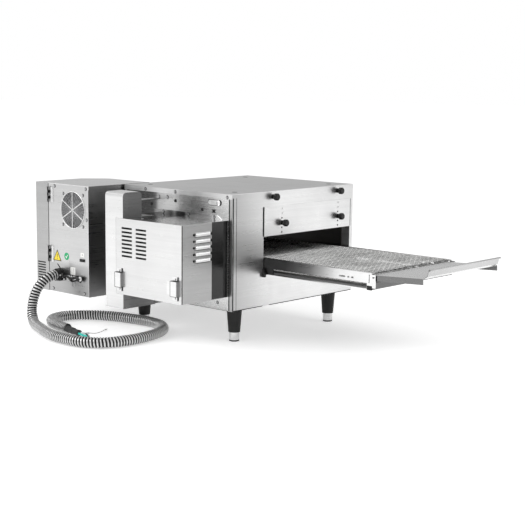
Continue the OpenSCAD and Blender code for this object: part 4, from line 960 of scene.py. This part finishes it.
def past_end_span(side, near, far):
    return sorted((past_end(side, near), past_end(side, far)))


# the cover's two straps: X of each one's raised part, and the rear face of both
STRAP_X = (-297, -53)
STRAP_Y = mm_box("cover_straps")[0].y
# the cover's louvres: the height of each, and the ends and radius of its cap
LOUVRE_Z = [167.5 + 19.3 * i for i in range(5)]
LOUVRE_Y = (-141.5, -81)
LOUVRE_R = 6.8


def make_joint_and_shadow_lines():
    """Dark joint lines between the sheets, and black strips of painted shadow along edges, beside the
    eyebrows, under the end panels and round the two cover straps.
    """
    # joint and fold near the end panel's rear edge, painted shadow under the top's rear edge, the joint
    # between the control box and its door, and painted shadow down the outfeed corners of the cover and of
    # the rear wall
    end_seam = bar("z", (-0.2, 0.7), (2.6, 6.4), 2, 343, 0.1)
    end_fold = bar("z", (-0.2, 0.5), (18.4, 19.4), 2, 343, 0.1)
    under_lip_shade = bar("x", (-0.6, 0.5), (0.2, 1.2), -470, -14, 0.1)
    hinge_side = bar("z", (DOOR_X - 1.6, DOOR_X + 0.6), (PANEL_Y - 0.5, PANEL_Y + 1), 2, 353, 0.2)
    cover_edge = bar("z", (COVER_X - 0.4, COVER_X + 0.4), (COVER_Y + 0.4, COVER_Y + 3.8), 45, 275, 0.1)
    corner = bar("z", (-13.6, -10.2), (-0.8, 0.4), 2, 341, 0.2)
    parts = [hinge_side, cover_edge, corner, end_seam, end_fold, under_lip_shade]
    # painted shadow beside each eyebrow, and along the bottom of each end panel
    for side in (1, -1):
        for y0, y1 in ((136.6, 139.6), (562.4, 564.4)):
            parts.append(bar("z", past_end_span(side, 0, 1.3), (y0, y1), 218, 308, 0.2))
        for y0, y1 in ((3, 138), (168, 574)):
            parts.append(bar("y", past_end_span(side, 0, 0.6), (0.2, 2.4), y0, y1, 0.1))
    # painted shadow round the raised part of each strap
    for x in STRAP_X:
        parts.append(bar("z", (x - 1.6, x - 0.1), (STRAP_Y - 0.3, COVER_Y), 67, 111, 0.2))
        for z0, z1 in ((111, 112.4), (65.6, 67)):
            parts.append(bar("x", (STRAP_Y - 0.2, COVER_Y), (z0, z1), x - 1, x + 24, 0.2))
        parts.append(bar("z", (x + 22, x + 23.6), (COVER_Y - 3, COVER_Y), 54, 124, 0.2))
    piece("joint_and_shadow_lines", *joined(parts), JOINT_AND_SHADOW_BLACK, slot="black_plastic")


def make_louvres():
    """Round caps over the cover's louvres, painted shade in the openings at both ends of each, and a
    painted shadow line under each.
    """
    shade_marks, caps = [], []
    for z in LOUVRE_Z:
        for y, profile, sides in ((LOUVRE_Y[0] - 3, [(0, 3.4), (0.8, 3.6), (1.2, 2.8)], 16),
                                  (LOUVRE_Y[1] + 2.4, [(0, 4.2), (7.0, 4.2), (7.8, 3.2)], 16)):
            shade_marks.append(turned((COVER_X - 0.2, y, z), (1, 0, 0), profile, sides))
        # painted shadow line under the louvre's cap
        shade_marks.append(bar("y", (COVER_X - 0.2, COVER_X + 3.6), (z - 7.2, z - 6.4),
                        LOUVRE_Y[0] + 0.5, LOUVRE_Y[1], 0.1))
        shell = [(COVER_X + LOUVRE_R * math.cos(a), z + LOUVRE_R * math.sin(a))
                 for a in (math.pi * (n / 12 - 0.5) for n in range(13))]
        caps.append(prism("y", shell, *LOUVRE_Y))
    piece("louvre_end_shade", *joined(shade_marks), JOINT_AND_SHADOW_BLACK, slot="black_plastic", smooth=True)
    piece("louvre_caps", *joined(caps), STEEL["louvre"], slot="steel", smooth=True)


def make_slot_shades():
    """Dark sheets of painted shade behind the slots of the cover and of the control door."""
    piece("cover_slot_shade", *bar("x", (COVER_Y + 1.6, COVER_Y + 2.8), (156, 254), -280, -163), JOINT_AND_SHADOW_BLACK,
          slot="black_plastic")
    piece("door_slot_shade", *bar("z", (-752, -707), (PANEL_Y + 1.7, PANEL_Y + 2.5), 33, 97), JOINT_AND_SHADOW_BLACK,
          body="control_door_body", slot="black_plastic")


def make_rail_blocks():
    """Moulded seats where the rails enter the body, and the stops at their ends."""
    parts = []
    # (z, distance past the end face) round the seat's side
    seat = [(92, 0.3), (92, 9), (104, 11), (118, 4), (118, 0.3)]
    for side in (1, -1):
        outline = [(past_end(side, x), z) for z, x in seat]
        for y0, y1 in ((134, 142.4), (547, 555)):
            parts.append(prism("y", outline, y0, y1))
        for y0, y1 in ((141, 144), (545.5, 548.5)):
            parts.append(bar("y", past_end_span(side, 401, 418.5), (100.2, 113), y0, y1, 1))
    piece("rail_blocks", *joined(parts), BLACK_SATIN, slot="black_plastic")


def make_foot_rims():
    """Rubber rim under each adjustable foot."""
    for name in ("foot_rear_out", "foot_rear_in", "foot_front_out", "foot_front_in"):
        centre = mm_middle(name)
        ring = turned((centre.x, centre.y, FLOOR_Z), (0, 0, 1),
                      [(0.1, 14.0), (0.8, 15.6), (4.2, 16.0), (5, 15.6)], 32)
        piece(name + "_rim", *ring, RUBBER, body=name + "_body", slot="foot_metal", smooth=True)


make_screw_details()
make_labels()
make_gland_details()
make_wall_details()
make_joint_and_shadow_lines()
make_louvres()
make_slot_shades()
make_rail_blocks()
make_foot_rims()


# ---------------------------------------------------------------- stage and light

FLOOR_HALF = 30


def make_floor():
    """Pale floor under the oven."""
    s = Shader("floor_pale", roughness=0.7)
    soft = s.noise(s.place.outputs["Object"], 1.5, 2.0)
    s.set(Base_Color=s.ramp(soft, [(0.3, 0.86), (0.7, 0.88)]))
    s.surface.inputs["Emission Color"].default_value = (1, 1, 1, 1)
    s.surface.inputs["Emission Strength"].default_value = 0.42
    mesh = bpy.data.meshes.new("floor")
    corners = [(x * FLOOR_HALF, y * FLOOR_HALF, 0) for x, y in ((-1, -1), (1, -1), (1, 1), (-1, 1))]
    mesh.from_pydata(corners, [], [(0, 1, 2, 3)])
    mesh.materials.append(s.material)
    floor = bpy.data.objects.new("floor", mesh)
    bpy.context.scene.collection.objects.link(floor)


# strength of the studio's light from level, and how it changes towards +X and +Y
WORLD_LIGHT = 0.75
WORLD_PLUS_X = 0.06
WORLD_PLUS_Y = -0.16


def make_world():
    """Pale studio: bright behind the camera, softer on the far sides, white to the camera."""
    world = bpy.data.worlds.new("studio")
    bpy.context.scene.world = world
    world.use_nodes = True
    tree = world.node_tree
    tree.nodes.clear()
    place = tree.nodes.new("ShaderNodeTexCoord")
    direction = tree.nodes.new("ShaderNodeSeparateXYZ")
    tree.links.new(place.outputs["Generated"], direction.inputs[0])

    def blend(a, b, operation):
        node = tree.nodes.new("ShaderNodeMath")
        node.operation = operation
        for socket, value in zip(node.inputs, (a, b)):
            if isinstance(value, bpy.types.NodeSocket):
                tree.links.new(value, socket)
            else:
                socket.default_value = value
        return node.outputs[0]

    side = blend(direction.outputs[0], WORLD_PLUS_X, "MULTIPLY")
    near = blend(direction.outputs[1], WORLD_PLUS_Y, "MULTIPLY")
    strength = blend(blend(side, near, "ADD"), WORLD_LIGHT, "ADD")
    lights = tree.nodes.new("ShaderNodeBackground")
    lights.inputs["Color"].default_value = (1, 1, 1, 1)
    tree.links.new(strength, lights.inputs["Strength"])
    seen = tree.nodes.new("ShaderNodeBackground")
    seen.inputs["Color"].default_value = (1, 1, 1, 1)
    path = tree.nodes.new("ShaderNodeLightPath")
    mix = tree.nodes.new("ShaderNodeMixShader")
    tree.links.new(path.outputs["Is Camera Ray"], mix.inputs[0])
    tree.links.new(lights.outputs[0], mix.inputs[1])
    tree.links.new(seen.outputs[0], mix.inputs[2])
    output = tree.nodes.new("ShaderNodeOutputWorld")
    tree.links.new(mix.outputs[0], output.inputs[0])


def make_light(name, position, target, size, power):
    """Area light at a row-frame position, turned to a target; size in metres, power in watts."""
    data = bpy.data.lights.new(name, "AREA")
    data.shape = "RECTANGLE"
    data.size, data.size_y = size
    data.energy = power
    lamp = bpy.data.objects.new(name, data)
    bpy.context.scene.collection.objects.link(lamp)
    lamp.location = position
    lamp.rotation_mode = "QUATERNION"
    lamp.rotation_quaternion = (Vector(target) - Vector(position)).to_track_quat("-Z", "Y")


make_floor()
make_world()
make_light("key", (-1.6, -3.2, 2.6), (0, 0, 0.3), (2.4, 1.8), 55)
make_light("end", (3.0, 1.6, 2.2), (0, 0.1, 0.3), (2.0, 1.6), 25)
bpy.context.scene.view_settings.view_transform = "Standard"
